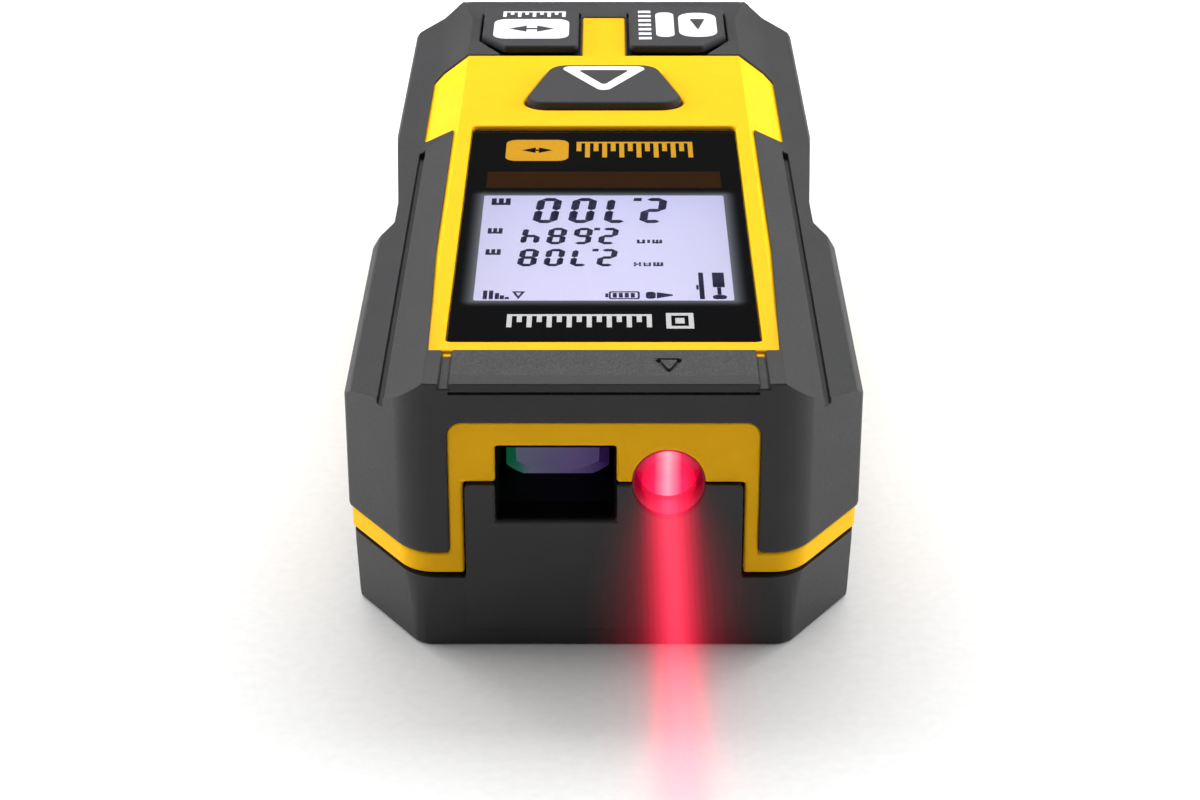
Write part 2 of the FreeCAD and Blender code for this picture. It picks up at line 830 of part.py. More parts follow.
def window_gasket():
    ring = wide_box("gasket_sheet", "window_half_width", ("window_front", "window_rear"),
                    ("window_bottom - gasket_thickness", "window_bottom"))
    ring = rounded("gasket_corners", ring, size("window_soft"), vertical)
    hole = wide_box("gasket_hole", "view_half_width + 0.1", ("view_front - 0.1", "view_rear + 0.1"),
                    ("window_bottom - 1", "top"))
    return node(cut("gasket", ring, hole), "window_gasket")


def label_plate():
    plate = wide_box("plate", "label_half_width", ("label_front", "label_rear"),
                     ("label_sunk", "label_sunk + label_thickness"))
    return node(rounded("plate_corners", plate, 1.0, vertical), "blank_label_plate")


def lanyard_pin():
    pin = cylinder("pin", "lanyard_bar", "lanyard_right - lanyard_left + 2 * lanyard_grip", "X",
                   "lanyard_left - lanyard_grip", "lanyard_y", "(lanyard_low + lanyard_high) / 2")
    return node(pin, "lanyard_pin")


def screw(name, x, y, z, head, head_height, shank, length):
    """A pan-head screw pointing up, with a cross recess in its head's underside."""
    disc = cylinder(f"{name}_head", head, head_height, "Z", x, y, z)
    stem = cylinder(f"{name}_shank", shank, f"{head_height} + {length}", "Z", x, y, z)
    arms = (("0.6 * " + head, "0.1 * " + head), ("0.1 * " + head, "0.6 * " + head))
    recess = [box(f"{name}_slot_{i}", (f"{x} - {wide}", f"{x} + {wide}"), (f"{y} - {deep}", f"{y} + {deep}"),
                  (f"{z} - 1", f"{z} + {head_height} * 0.6"))
              for i, (wide, deep) in enumerate(arms)]
    return cut(name, fuse(f"{name}_solid", disc, stem), *recess)


def case_screws():
    screws = [screw(f"case_screw_{i}", x, y, "floor_thickness - head_height", "screw_head", "head_height",
                    "screw_radius", "screw_length") for i, (x, y) in enumerate(CASE_SCREWS)]
    return node(group("case_screw_set", *screws), "case_screws")


# ---- keys ----

def measure_button():
    cap = prism("measure_cap", "XY", trapezoid("0"), ("flange_bottom", "button_top"))
    cap = rounded("measure_cap_corners", cap, size("button_round"), vertical)
    cap = rounded("measure_cap_bevel", cap, size("button_bevel"), top_rim("button_top"))
    flange = prism("measure_flange", "XY", trapezoid("flange_lip"), ("flange_bottom", "flange_top"))
    stem = column("measure_stem", "stem_radius", "0", "button_y", ("stem_bottom", "flange_bottom + 0.2"))
    solid = fuse("measure_solid", cap, flange, stem)
    return node(cut("measure_key", solid, symbol_ring("measure_pocket")), "measure_button")


def top_rim(alias):
    """Picks the edges of a key's top face."""
    def wanted(edge):
        return edge.BoundBox.ZMin > size(alias) - 0.01
    return wanted


def symbol_ring(name):
    """A hollow triangle let into the measure button's top, pointing to the laser end."""
    level = ("button_top - symbol_depth", "button_top")
    outer = prism(f"{name}_outer", "XY", [
        ("-5.6", "button_rear - 0.8"), ("0", "button_front + 3.6"), ("5.6", "button_rear - 0.8")], level)
    inner = prism(f"{name}_inner", "XY", [
        ("-3.1", "button_rear - 2.2"), ("0", "button_front + 6.4"), ("3.1", "button_rear - 2.2")], level)
    outer = rounded(f"{name}_soft", outer, 0.9, vertical)
    return cut(name, outer, rounded(f"{name}_hole", inner, 0.3, vertical))


def measure_symbol():
    return node(symbol_ring("symbol"), "measure_symbol")


def rear_key(name, side):
    """A key with its cap, a retaining flange under the roof and a stem down to its rubber dome."""
    x, y = f"{side} * key_x", "key_y"
    cap = prism(f"{name}_cap", "XY", key_outline(side), ("key_bottom", "key_top"))
    cap = rounded(f"{name}_cap_corners", cap, size("key_round"), vertical)
    cap = rounded(f"{name}_cap_bevel", cap, size("key_bevel"), top_rim("key_top"))
    flange = column(f"{name}_flange", "key_flange", x, y, ("flange_bottom", "flange_top"))
    stem = column(f"{name}_stem", "stem_radius", x, y, ("stem_bottom", "key_bottom + 0.3"))
    return node(fuse(f"{name}_solid", cap, flange, stem), f"{name}_key")


def dome(name, x, y):
    """A hollow rubber dome that pushes a key back up."""
    base = "board_z + board_thickness"
    rise = f"stem_bottom - dome_gap - ({base})"
    outer = doc.addObject("Part::Cone", f"{name}_dome_outer")
    bind(outer, Radius1="dome_foot", Radius2="dome_head", Height=rise)
    inner = doc.addObject("Part::Cone", f"{name}_dome_inner")
    bind(inner, Radius1="dome_foot - dome_wall", Radius2="dome_head - dome_wall",
         Height=f"{rise} - dome_wall")
    return node(cut(f"{name}_dome_rubber", at(outer, x, y, base), at(inner, x, y, base)), f"{name}_dome")


# ---- display and keypad electronics ----

def keypad_board():
    blank = wide_box("keypad_sheet", "board_half_width", ("board_front", "board_rear"),
                     ("board_z", "board_z + board_thickness"))
    notches = bosses("keypad_notch", "boss_radius + 0.4", ("board_z - 1", "board_z + 2"))
    holes = [column(f"keypad_hole_{i}", "keypad_hole", x, y, ("board_z - 1", "board_z + 2"))
             for i, (x, y) in enumerate(KEYPAD_SCREWS)]
    return node(cut("keypad_drilled", blank, *notches, *holes), "keypad_board")


def keypad_screws():
    screws = [screw(f"keypad_screw_{i}", x, y, "board_z - 0.8", "1.4", "0.8", "0.7", "2.6")
              for i, (x, y) in enumerate(KEYPAD_SCREWS)]
    return node(group("keypad_screw_set", *screws), "keypad_screws")


def lcd_panel():
    """Two sheets of glass, the rear one longer so that its edge takes the contacts."""
    split = "lcd_bottom + lcd_glass"
    rear_glass = wide_box("lcd_rear_glass", "lcd_half_width", ("lcd_front", "lcd_rear"),
                          ("lcd_bottom", split))
    front_glass = wide_box("lcd_front_glass", "lcd_half_width", ("lcd_front", "lcd_rear - lcd_ledge"),
                           (split, "lcd_top"))
    return node(fuse("lcd", rear_glass, front_glass), "lcd_panel")


def lcd_backlight():
    guide = wide_box("light_guide", "lcd_half_width - 0.1", ("lcd_front + 0.2", "backlight_rear"),
                     ("lcd_bottom - backlight_thickness", "lcd_bottom"))
    return node(guide, "lcd_backlight")


def lcd_frame():
    block = wide_box("lcd_frame_block", "lcd_half_width + frame_rim",
                     ("lcd_front - frame_rim + 0.1", "lcd_rear + 1.7"),
                     ("board_z + board_thickness", "lcd_bottom + frame_grip"))
    room = wide_box("lcd_frame_room", "lcd_half_width + frame_fit", ("lcd_front - 0.1", "lcd_rear + 0.1"),
                    ("lcd_bottom - backlight_thickness", "top"))
    slot = wide_box("lcd_frame_slot", "zebra_half_width + 0.2",
                    ("zebra_front - zebra_fit", "zebra_rear + zebra_fit"), ("0", "top"))
    return node(cut("lcd_frame_open", block, room, slot), "lcd_frame")


def lcd_connector():
    strip = wide_box("zebra_strip", "zebra_half_width", ("zebra_front", "zebra_rear"),
                     ("board_z + board_thickness", "lcd_bottom"))
    return node(strip, "lcd_connector")


# ---- main board ----

def main_board():
    blank = wide_box("main_sheet", "main_half_width", ("main_front", "main_rear"),
                     ("main_z", "main_z + main_thickness"))
    blank = rounded("main_corners", blank, size("main_round"), vertical)
    holes = [column(f"main_drilling_{i}", "main_hole", x, y, ("main_z - 1", "main_z + 3"))
             for i, (x, y) in enumerate(BOARD_SCREWS)]
    return node(cut("main_drilled", blank, *holes), "main_board")


def main_board_screws():
    """Pan-head screws put in from above."""
    deck = "main_z + main_thickness"
    screws = []
    for i, (x, y) in enumerate(BOARD_SCREWS):
        head = column(f"main_screw_head_{i}", "1.6", x, y, (deck, f"{deck} + 1.1"))
        shank = column(f"main_screw_shank_{i}", "main_thread", x, y, ("main_z - 2.5", deck))
        slot = box(f"main_screw_slot_{i}", (f"{x} - 1", f"{x} + 1"), (f"{y} - 0.2", f"{y} + 0.2"),
                   (f"{deck} + 0.5", f"{deck} + 2"))
        screws.append(cut(f"main_screw_{i}", fuse(f"main_screw_solid_{i}", head, shank), slot))
    return node(group("main_screw_set", *screws), "main_board_screws")


def on_board(name, x, y, height):
    """A block that stands on the main board."""
    return box(name, x, y, ("main_z + main_thickness", f"main_z + main_thickness + {height}"))


def board_parts():
    mcu = on_board("mcu", ("-mcu_side / 2", "mcu_side / 2"), ("mcu_front", "mcu_front + mcu_side"),
                   "mcu_height")
    node(mcu, "microcontroller")
    can = on_board("can_block", ("-shield_half_width", "shield_half_width"), ("shield_front", "shield_rear"),
                   "shield_height")
    room = on_board("can_room", ("-shield_half_width + shield_wall", "shield_half_width - shield_wall"),
                    ("shield_front + shield_wall", "shield_rear - shield_wall"),
                    "shield_height - shield_wall")
    node(cut("can", can, room), "signal_shield")
    chips = [on_board(f"chip_{i}", (f"{x} - chip_half_width", f"{x} + chip_half_width"),
                      (f"{y} - chip_half_depth", f"{y} + chip_half_depth"), "chip_height")
             for i, (x, y) in enumerate(CHIPS)]
    node(group("chip_set", *chips), "board_chips")
    deck = "main_z + main_thickness"
    sounder = column("sounder", "buzzer_radius", "0", "buzzer_y", (deck, f"{deck} + buzzer_height"))
    port = column("sounder_port", "1", "0", "buzzer_y",
                  (f"{deck} + buzzer_height - 1", f"{deck} + buzzer_height + 1"))
    node(cut("sounder_case", sounder, port), "buzzer")


def ribbon_cable():
    """A flat ribbon folded up from the main board to the keypad board."""
    low = wide_box("ribbon_low", "ribbon_half_width", ("ribbon_front", "ribbon_fold"),
                   ("main_z + main_thickness", "main_z + main_thickness + ribbon_thickness"))
    rise = wide_box("ribbon_rise", "ribbon_half_width", ("ribbon_fold - ribbon_thickness", "ribbon_fold"),
                    ("main_z + main_thickness", "board_z"))
    high = wide_box("ribbon_high", "ribbon_half_width", ("ribbon_fold - ribbon_thickness", "ribbon_rear"),
                    ("board_z - ribbon_thickness", "board_z"))
    return node(fuse("ribbon", low, rise, high), "ribbon_cable")


# ---- optics ----

def optics_chassis():
    width = ("chassis_left", "chassis_right")
    front = box("chassis_nose", width, ("chassis_front", "chassis_step"), ("chassis_low", "chassis_high"))
    rear = box("chassis_body", width, ("chassis_step", "chassis_rear"), ("chassis_low", "chassis_mid"))
    legs = [box(f"chassis_leg_{i}", (f"{x} - chassis_leg", f"{x} + chassis_leg"), (f"{y} - 2", f"{y} + 2"),
                ("main_z + main_thickness", "chassis_low")) for i, (x, y) in enumerate(CHASSIS_LEGS)]
    tunnel = receiver_opening("chassis_tunnel", ("chassis_front - 1", "lens_front - lens_lip"))
    seat = lens_block("lens_seat", ("lens_front - lens_lip", "lens_rear"))
    chamber = box("chassis_chamber", ("lens_centre_x - chamber_half", "lens_centre_x + chamber_half"),
                  ("lens_rear - 0.1", "chassis_rear - chassis_wall"),
                  ("chassis_low + 1.5", "chassis_mid - 1.2"))
    sensor_way = box("sensor_way", ("lens_centre_x - sensor_half_way", "lens_centre_x + sensor_half_way"),
                     ("chassis_rear - chassis_wall - 1", "chassis_rear + 1"),
                     ("sensor_z - sensor_half_way", "sensor_z + sensor_half_way"))
    bore = laser_bore("barrel_bore", "barrel_radius", ("chassis_front - 1", "barrel_rear"))
    relief = laser_bore("diode_relief", "barrel_radius - 0.6", ("barrel_rear - 0.5", "chassis_rear + 1"))
    solid = fuse("chassis_solid", front, rear, *legs)
    return node(cut("chassis", solid, tunnel, seat, chamber, sensor_way, bore, relief), "optics_chassis")


def lens_block(name, span):
    return box(name, ("lens_centre_x - lens_half_width", "lens_centre_x + lens_half_width"), span,
               ("lens_centre_z - lens_half_height", "lens_centre_z + lens_half_height"))


def receiver_hood():
    """The black rectangular sleeve between the front aperture and the optics."""
    outer = receiver_opening("hood_outer", ("hood_front", "chassis_front"), "-hood_clearance")
    inner = receiver_opening("hood_inner", ("hood_front - 1", "chassis_front + 1"),
                             "-hood_clearance - hood_wall")
    return node(cut("hood", outer, inner), "receiver_hood")


def receiver_lens():
    ball = doc.addObject("Part::Sphere", "lens_ball")
    bind(ball, Radius="lens_curvature")
    at(ball, "lens_centre_x", "lens_front + lens_curvature", "lens_centre_z")
    return node(common("lens", lens_block("lens_blank", ("lens_front", "lens_rear")), ball), "receiver_lens")


def receiver_parts():
    filter_rear = "chassis_rear - chassis_wall"
    node(box("filter_glass", ("lens_centre_x - filter_half", "lens_centre_x + filter_half"),
             (f"{filter_rear} - filter_thickness", filter_rear),
             ("sensor_z - filter_half", "sensor_z + filter_half")), "receiver_filter")
    can = cylinder("sensor_can", "sensor_radius", "chassis_wall - 0.1", "Y", "lens_centre_x",
                   "chassis_rear - chassis_wall + 0.1", "sensor_z")
    node(can, "receiver_sensor")
    board = box("sensor_board", ("chassis_left", "sensor_board_right"),
                ("chassis_rear", "chassis_rear + sensor_board_thickness"),
                ("sensor_board_low", "chassis_mid - 0.1"))
    node(board, "receiver_board")


def laser_parts():
    tube = laser_bore("barrel_tube", "barrel_radius", ("barrel_front", "barrel_rear"))
    bore = laser_bore("barrel_inside", "barrel_radius - barrel_wall", ("barrel_front - 1", "barrel_rear - 3"))
    seat = laser_bore("diode_seat", "diode_flange", ("barrel_rear - 3.5", "barrel_rear + 1"))
    node(cut("barrel", tube, bore, seat), "laser_barrel")
    node(laser_bore("collimator", "barrel_radius - barrel_wall",
                    ("barrel_front + 0.2", "barrel_front + 0.2 + collimator_thickness")), "collimator_lens")
    flange = laser_bore("diode_base", "diode_flange", ("barrel_rear - 1.6", "barrel_rear"))
    cap = laser_bore("diode_can", "diode_cap", ("barrel_rear - 3.4", "barrel_rear - 1"))
    legs = [cylinder(f"diode_leg_{i}", "diode_leg", "5", "Y",
                     f"laser_x + {dx}", "barrel_rear - 0.5", f"laser_z + {dz}")
            for i, (dx, dz) in enumerate(DIODE_LEGS)]
    node(fuse("diode", flange, cap, *legs), "laser_diode")
    sleeve = laser_bore("liner_tube", "laser_hole", ("liner_front", "barrel_front - 0.05"))
    hollow = laser_bore("liner_bore", "laser_hole - liner_wall", ("liner_front - 1", "barrel_front + 1"))
    node(cut("liner", sleeve, hollow), "laser_liner")


# ---- batteries and their door ----

def cell(name, x, flat_end, side):
    """An AAA cell from its flat end, pointing along +y or -y."""
    can_length = "cell_length - nub_length"
    base = flat_end if side > 0 else f"{flat_end} - ({can_length})"
    tip = f"{flat_end} + {can_length} - 0.1" if side > 0 else f"{flat_end} - cell_length"
    can = cylinder(f"{name}_can", "cell_radius", can_length, "Y", x, base, "cell_z")
    nub = cylinder(f"{name}_nub", "cell_nub", "nub_length + 0.1", "Y", x, tip, "cell_z")
    return fuse(f"{name}_cell", can, nub)


def batteries():
    """Two AAA cells that point opposite ways, each pressed on its nub's plate by a spring."""
    cells = [cell("left", "-cell_x", "bay_front + plate_thickness + spring_length", 1),
             cell("right", "cell_x", "bay_rear - plate_thickness - spring_length", -1)]
    return node(group("cell_pair", *cells), "batteries")


def battery_contacts():
    height = ("plate_low", "plate_high")
    rear = ("bay_rear - plate_thickness", "bay_rear")
    plates = [
        wide_box("plate_front_pair", "plate_out", ("bay_front", "bay_front + plate_thickness"), height),
        box("plate_rear_left", ("-plate_out", "-plate_in"), rear, height),
        box("plate_rear_right", ("plate_in", "plate_out"), rear, height),
    ]
    node(group("contact_plates", *plates), "battery_plates")
    springs = [coil("spring_front", "-cell_x", "bay_front + plate_thickness", 1),
               coil("spring_rear", "cell_x", "bay_rear - plate_thickness", -1)]
    node(group("spring_pair", *springs), "battery_springs")


def coil(name, x, plate, side):
    """A conical spring that stands on a contact plate and points along +y or -y; its wire has eight flats."""
    rise = "spring_length - 2 * (spring_wire + spring_fit)"
    line = doc.addObject("Part::Helix", f"{name}_line")
    bind(line, Radius="spring_radius", Pitch=f"({rise}) / spring_turns", Height=rise)
    line.Angle = -30
    line.Placement.Rotation = FreeCAD.Rotation(AXES["Z"], AXES["Y"] * side)
    first = f"{plate} + {side} * (spring_wire + spring_fit)"
    at(line, x, first, "cell_z")
    wire = doc.addObject("Part::RegularPolygon", f"{name}_wire")
    wire.Polygon = 8
    bind(wire, Circumradius="spring_wire")
    at(wire, f"{x} + spring_radius", first, "cell_z")
    spring = doc.addObject("Part::Sweep", name)
    spring.Sections = [wire]
    spring.Spine = (line, [])
    spring.Solid = True
    spring.Frenet = True
    return spring


def battery_door():
    axis_y = "door_front + door_thickness / 2"
    axis_z = "door_low + door_thickness / 2"
    reach = "door_half_width + door_pin_reach"
    leaf = wide_box("door_leaf", "door_half_width", (axis_y, "door_rear"),
                    ("door_low", "door_low + door_thickness"))
    knuckle = cylinder("door_knuckle", "door_thickness / 2", "2 * door_half_width", "X",
                       "-door_half_width", axis_y, axis_z)
    pins = cylinder("door_pins", "door_pin", f"2 * ({reach})", "X", f"-({reach})", axis_y, axis_z)
    slits = [box(f"latch_slit_{i}", x, ("door_rear - latch_length", "door_rear + 1"),
                 ("0", "door_thickness * 2"))
             for i, x in enumerate((("-latch_out", "-latch_in"), ("latch_in", "latch_out")))]
    thumb = [wide_box(f"thumb_groove_{i}", "thumb_half", (f"door_rear - {1.6 + i}", f"door_rear - {1.2 + i}"),
                      ("door_low - 0.01", "door_low + thumb_depth")) for i in range(4)]
    return node(cut("door", fuse("door_solid", leaf, knuckle, pins), *slits, *thumb), "battery_door")


def build():
    fill_sheet()
    lower_shell()
    upper_shell()
    rubber_armour()
    parting_seal()
    display_window()
    window_gasket()
    label_plate()
    lanyard_pin()
    case_screws()
    measure_button()
    measure_symbol()
    for name, side in SIDES.items():
        rear_key(name, side)
        dome(name, f"{side} * key_x", "key_y")
    dome("measure", "0", "button_y")
    keypad_board()
    keypad_screws()
    lcd_panel()
    lcd_backlight()
    lcd_frame()
    lcd_connector()
    main_board()
    main_board_screws()
    board_parts()
    ribbon_cable()
    optics_chassis()
    receiver_hood()
    receiver_lens()
    receiver_parts()
    laser_parts()
    batteries()
    battery_contacts()
    battery_door()
    doc.recompute()


def check():
    for obj in doc.Objects:
        if "Invalid" in obj.State or "Error" in obj.State:
            raise RuntimeError(f"{obj.Name} did not compute: {obj.State}")
    for obj in nodes:
        if obj.Shape.isNull() or not obj.Shape.isValid() or not obj.Shape.Solids:
            raise RuntimeError(f"{obj.Label} has no valid solid")


def export():
    os.makedirs("parts", exist_ok=True)
    for obj in nodes:
        obj.Shape.exportStep(f"parts/{obj.Label}.step")
        print(f"{obj.Label:20s} {len(obj.Shape.Solids):3d} {obj.Shape.Volume:10.1f}")


build()
check()
export()
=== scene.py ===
import json
import math

import bmesh
import bpy
from mathutils import Matrix, Vector

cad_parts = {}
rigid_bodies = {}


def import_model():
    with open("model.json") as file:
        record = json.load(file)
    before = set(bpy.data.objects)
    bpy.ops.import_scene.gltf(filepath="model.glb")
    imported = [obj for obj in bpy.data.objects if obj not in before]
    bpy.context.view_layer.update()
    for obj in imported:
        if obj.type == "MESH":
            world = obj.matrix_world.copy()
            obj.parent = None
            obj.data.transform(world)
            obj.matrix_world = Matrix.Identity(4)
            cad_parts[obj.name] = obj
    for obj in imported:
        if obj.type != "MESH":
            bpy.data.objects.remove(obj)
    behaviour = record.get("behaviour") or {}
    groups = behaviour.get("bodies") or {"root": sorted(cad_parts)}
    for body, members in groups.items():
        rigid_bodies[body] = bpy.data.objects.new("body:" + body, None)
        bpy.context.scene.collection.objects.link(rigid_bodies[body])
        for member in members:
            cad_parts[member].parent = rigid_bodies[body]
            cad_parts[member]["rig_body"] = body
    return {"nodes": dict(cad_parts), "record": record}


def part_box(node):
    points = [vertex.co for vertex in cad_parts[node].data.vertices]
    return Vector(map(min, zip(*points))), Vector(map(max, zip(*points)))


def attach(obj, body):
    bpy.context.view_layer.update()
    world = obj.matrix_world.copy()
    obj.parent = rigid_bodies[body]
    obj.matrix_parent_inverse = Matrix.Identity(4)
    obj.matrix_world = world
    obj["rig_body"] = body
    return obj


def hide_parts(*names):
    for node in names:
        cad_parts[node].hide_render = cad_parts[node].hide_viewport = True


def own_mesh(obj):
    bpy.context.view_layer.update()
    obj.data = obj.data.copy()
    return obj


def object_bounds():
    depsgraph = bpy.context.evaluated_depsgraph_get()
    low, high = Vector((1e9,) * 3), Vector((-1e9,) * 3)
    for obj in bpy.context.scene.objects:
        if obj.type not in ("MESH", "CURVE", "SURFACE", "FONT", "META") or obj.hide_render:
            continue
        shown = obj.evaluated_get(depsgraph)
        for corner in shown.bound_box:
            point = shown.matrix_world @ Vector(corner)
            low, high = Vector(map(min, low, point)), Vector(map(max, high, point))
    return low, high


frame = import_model()
cad_low, cad_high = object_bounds()

# The looks of a pocket laser distance meter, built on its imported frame. Lengths are in metres.
# +Z is up out of the display face, -Y is the laser end. Text and symbols are read from the +Y end.

MM = 0.001
NODES = frame["nodes"]
# the face attribute that marks the roundings of a refined piece, where the materials paint wear and painted
# edge highlight and shade
WEAR_AND_EDGE_LIGHT = "wear_and_edge_light"
# the beam's radius where it leaves, in millimetres
BEAM_START = 2.6


# ---- materials ----

class Paint:
    """A procedural material under construction: a Principled shader and the nodes that drive it."""

    def __init__(self, name, **values):
        self.material = bpy.data.materials.new(name)
        self.material.use_nodes = True
        self.tree = self.material.node_tree
        self.shader = self.tree.nodes["Principled BSDF"]
        self.place = self.add("ShaderNodeTexCoord").outputs["Object"]
        for socket, value in values.items():
            self.shader.inputs[socket.replace("_", " ")].default_value = value

    def add(self, kind, **settings):
        made = self.tree.nodes.new(kind)
        for name, value in settings.items():
            setattr(made, name, value)
        return made

    def wire(self, output, target):
        socket = self.shader.inputs[target] if isinstance(target, str) else target
        self.tree.links.new(output, socket)

    def feed(self, socket, value):
        """Sets an input from a node's output or from a plain value."""
        if isinstance(value, bpy.types.NodeSocket):
            self.tree.links.new(value, socket)
        else:
            socket.default_value = value

    def stretched(self, scale):
        """Object coordinates with each axis scaled."""
        mapping = self.add("ShaderNodeMapping")
        self.wire(self.place, mapping.inputs["Vector"])
        mapping.inputs["Scale"].default_value = scale
        return mapping.outputs["Vector"]

    def noise(self, scale, detail=2.0, roughness=0.5, place=None):
        made = self.add("ShaderNodeTexNoise")
        self.wire(place or self.place, made.inputs["Vector"])
        made.inputs["Scale"].default_value = scale
        made.inputs["Detail"].default_value = detail
        made.inputs["Roughness"].default_value = roughness
        return made.outputs["Fac"]

    def range(self, value, low, high, to_low, to_high):
        """Maps value from low..high to to_low..to_high, held at both ends."""
        made = self.add("ShaderNodeMapRange")
        self.feed(made.inputs["Value"], value)
        span = {"From Min": low, "From Max": high, "To Min": to_low, "To Max": to_high}
        for socket, number in span.items():
            made.inputs[socket].default_value = number
        return made.outputs["Result"]

    def ramp(self, value, *stops):
        """A colour ramp; each stop is a position and a colour."""
        made = self.add("ShaderNodeValToRGB")
        self.feed(made.inputs["Fac"], value)
        elements = made.color_ramp.elements
        while len(elements) < len(stops):
            elements.new(1.0)
        for element, (position, colour) in zip(elements, stops):
            element.position = position
            element.color = (*colour, 1.0)
        return made.outputs["Color"]

    def math(self, operation, a, b=0.0):
        made = self.add("ShaderNodeMath", operation=operation)
        self.feed(made.inputs[0], a)
        self.feed(made.inputs[1], b)
        return made.outputs["Value"]

    def mix(self, factor, a, b, blend="MIX"):
        made = self.add("ShaderNodeMix", data_type="RGBA", blend_type=blend)
        self.feed(made.inputs["Factor"], factor)
        self.feed(made.inputs["A"], (*a, 1.0) if isinstance(a, tuple) else a)
        self.feed(made.inputs["B"], (*b, 1.0) if isinstance(b, tuple) else b)
        return made.outputs["Result"]

    def part(self, axis):
        """One coordinate of the place on the object, in metres."""
        made = self.add("ShaderNodeSeparateXYZ")
        self.wire(self.place, made.inputs["Vector"])
        return made.outputs[axis]

    def facing(self, axis):
        """One coordinate of the surface's normal, in the object's own axes."""
        made = self.add("ShaderNodeSeparateXYZ")
        self.wire(self.add("ShaderNodeTexCoord").outputs["Normal"], made.inputs["Vector"])
        return made.outputs[axis]

    def edges(self):
        """1 on the rounded edges of refined pieces and 0 elsewhere: the mask for edge wear and painted edge
        highlight and shade.
        """
        return self.add("ShaderNodeAttribute", attribute_name=WEAR_AND_EDGE_LIGHT).outputs["Fac"]

    def bump(self, height, strength, distance):
        made = self.add("ShaderNodeBump")
        self.wire(height, made.inputs["Height"])
        made.inputs["Strength"].default_value = strength
        made.inputs["Distance"].default_value = distance
        self.wire(made.outputs["Normal"], "Normal")
        return made

    def colour(self, output):
        self.wire(output, "Base Color")
        return self

    def rough(self, output):
        self.wire(output, "Roughness")
        return self


def rubber_skin(name, dark, light, grain, depth, rough=(0.5, 0.66)):
    """Overmoulded rubber: a fine pebbled grain, paler on its rounded edges, partly as wear and partly as a
    painted highlight.
    """
    paint = Paint(name, Specular_IOR_Level=0.32)
    pebbles = paint.noise(grain, 3.0, 0.6)
    clouds = paint.noise(180.0, 4.0, 0.6)
    tone = paint.mix(paint.range(clouds, 0.3, 0.7, 0.0, 1.0), dark, light)
    tone = paint.mix(paint.range(pebbles, 0.35, 0.7, 0.0, 0.35), tone, tuple(2.0 * c for c in light))
    # painted highlight and wear: the rounded edges turn paler
    rubbed_and_lit = paint.math("MULTIPLY", paint.edges(), 0.25)
    paint.colour(paint.mix(rubbed_and_lit, tone, tuple(2.6 * c for c in light)))
    paint.rough(paint.range(pebbles, 0.3, 0.7, *rough))
    paint.bump(pebbles, 0.5, depth)
    return paint.material


# where the bar's coarse grain fades out at its sides, its front and its rear
BAR_SIDE = (0.0153, 0.0156)
BAR_FRONT = (-0.0592, -0.0588)
BAR_REAR = (-0.0530, -0.0528)


def armour_rubber():
    """The armour's grain is coarse on the flat bar in front of the window and fine everywhere else."""
    paint = Paint("armour_rubber", Specular_IOR_Level=0.3)
    fine = paint.noise(5200.0, 3.0, 0.6)
    coarse = paint.noise(4800.0, 2.0, 0.5)
    clouds = paint.noise(160.0, 4.0, 0.6)
    bar_side = paint.range(paint.math("ABSOLUTE", paint.part("X")), *BAR_SIDE, 1.0, 0.0)
    bar_front = paint.range(paint.part("Y"), *BAR_FRONT, 0.0, 1.0)
    bar_rear = paint.range(paint.part("Y"), *BAR_REAR, 1.0, 0.0)
    bar = paint.math("MULTIPLY", paint.math("MULTIPLY", bar_side, bar_front), bar_rear)
    grain = paint.math("ADD", paint.math("MULTIPLY", fine, 0.45), paint.math("MULTIPLY", coarse, bar))
    tone = paint.mix(paint.range(clouds, 0.3, 0.7, 0.0, 1.0), (0.014, 0.014, 0.015), (0.021, 0.021, 0.022))
    speckle = paint.math("MULTIPLY", paint.range(coarse, 0.45, 0.65, 0.0, 0.5), bar)
    tone = paint.mix(speckle, tone, (0.10, 0.098, 0.09))
    # painted highlight and wear: the rounded edges turn paler
    rubbed_and_lit = paint.math("MULTIPLY", paint.edges(), 0.3)
    paint.colour(paint.mix(rubbed_and_lit, tone, (0.06, 0.06, 0.063)))
    paint.rough(paint.range(fine, 0.3, 0.7, 0.44, 0.56))
    paint.bump(grain, 0.55, 0.00009)
    return paint.material


def yellow_plastic():
    paint = Paint("yellow_plastic", Specular_IOR_Level=0.06, Subsurface_Weight=0.12, Subsurface_Scale=0.0008)
    paint.shader.inputs["Subsurface Radius"].default_value = (1.0, 0.45, 0.08)
    mottle = paint.noise(220.0, 5.0, 0.55)
    texture = paint.noise(7000.0, 2.0, 0.5)
    tone = paint.mix(paint.range(mottle, 0.3, 0.7, 0.0, 1.0), (0.94, 0.530, 0.006), (0.99, 0.570, 0.008))
    # painted shade: the rounded edges turn a deeper orange
    paint.colour(paint.mix(paint.math("MULTIPLY", paint.edges(), 0.35), tone, (1.0, 0.43, 0.006)))
    paint.rough(paint.range(texture, 0.3, 0.7, 0.36, 0.48))
    paint.bump(texture, 0.25, 0.00002)
    return paint.material


def charcoal_plastic():
    paint = Paint("charcoal_plastic", Specular_IOR_Level=0.32)
    texture = paint.noise(6400.0, 3.0, 0.6)
    clouds = paint.noise(120.0, 3.0, 0.5)
    tone = paint.mix(paint.range(clouds, 0.3, 0.7, 0.0, 1.0), (0.013, 0.013, 0.014), (0.018, 0.018, 0.019))
    # painted highlight and wear: the rounded edges turn paler
    paint.colour(paint.mix(paint.math("MULTIPLY", paint.edges(), 0.25), tone, (0.06, 0.06, 0.063)))
    paint.rough(paint.range(texture, 0.3, 0.7, 0.36, 0.5))
    paint.bump(texture, 0.35, 0.00003)
    return paint.material


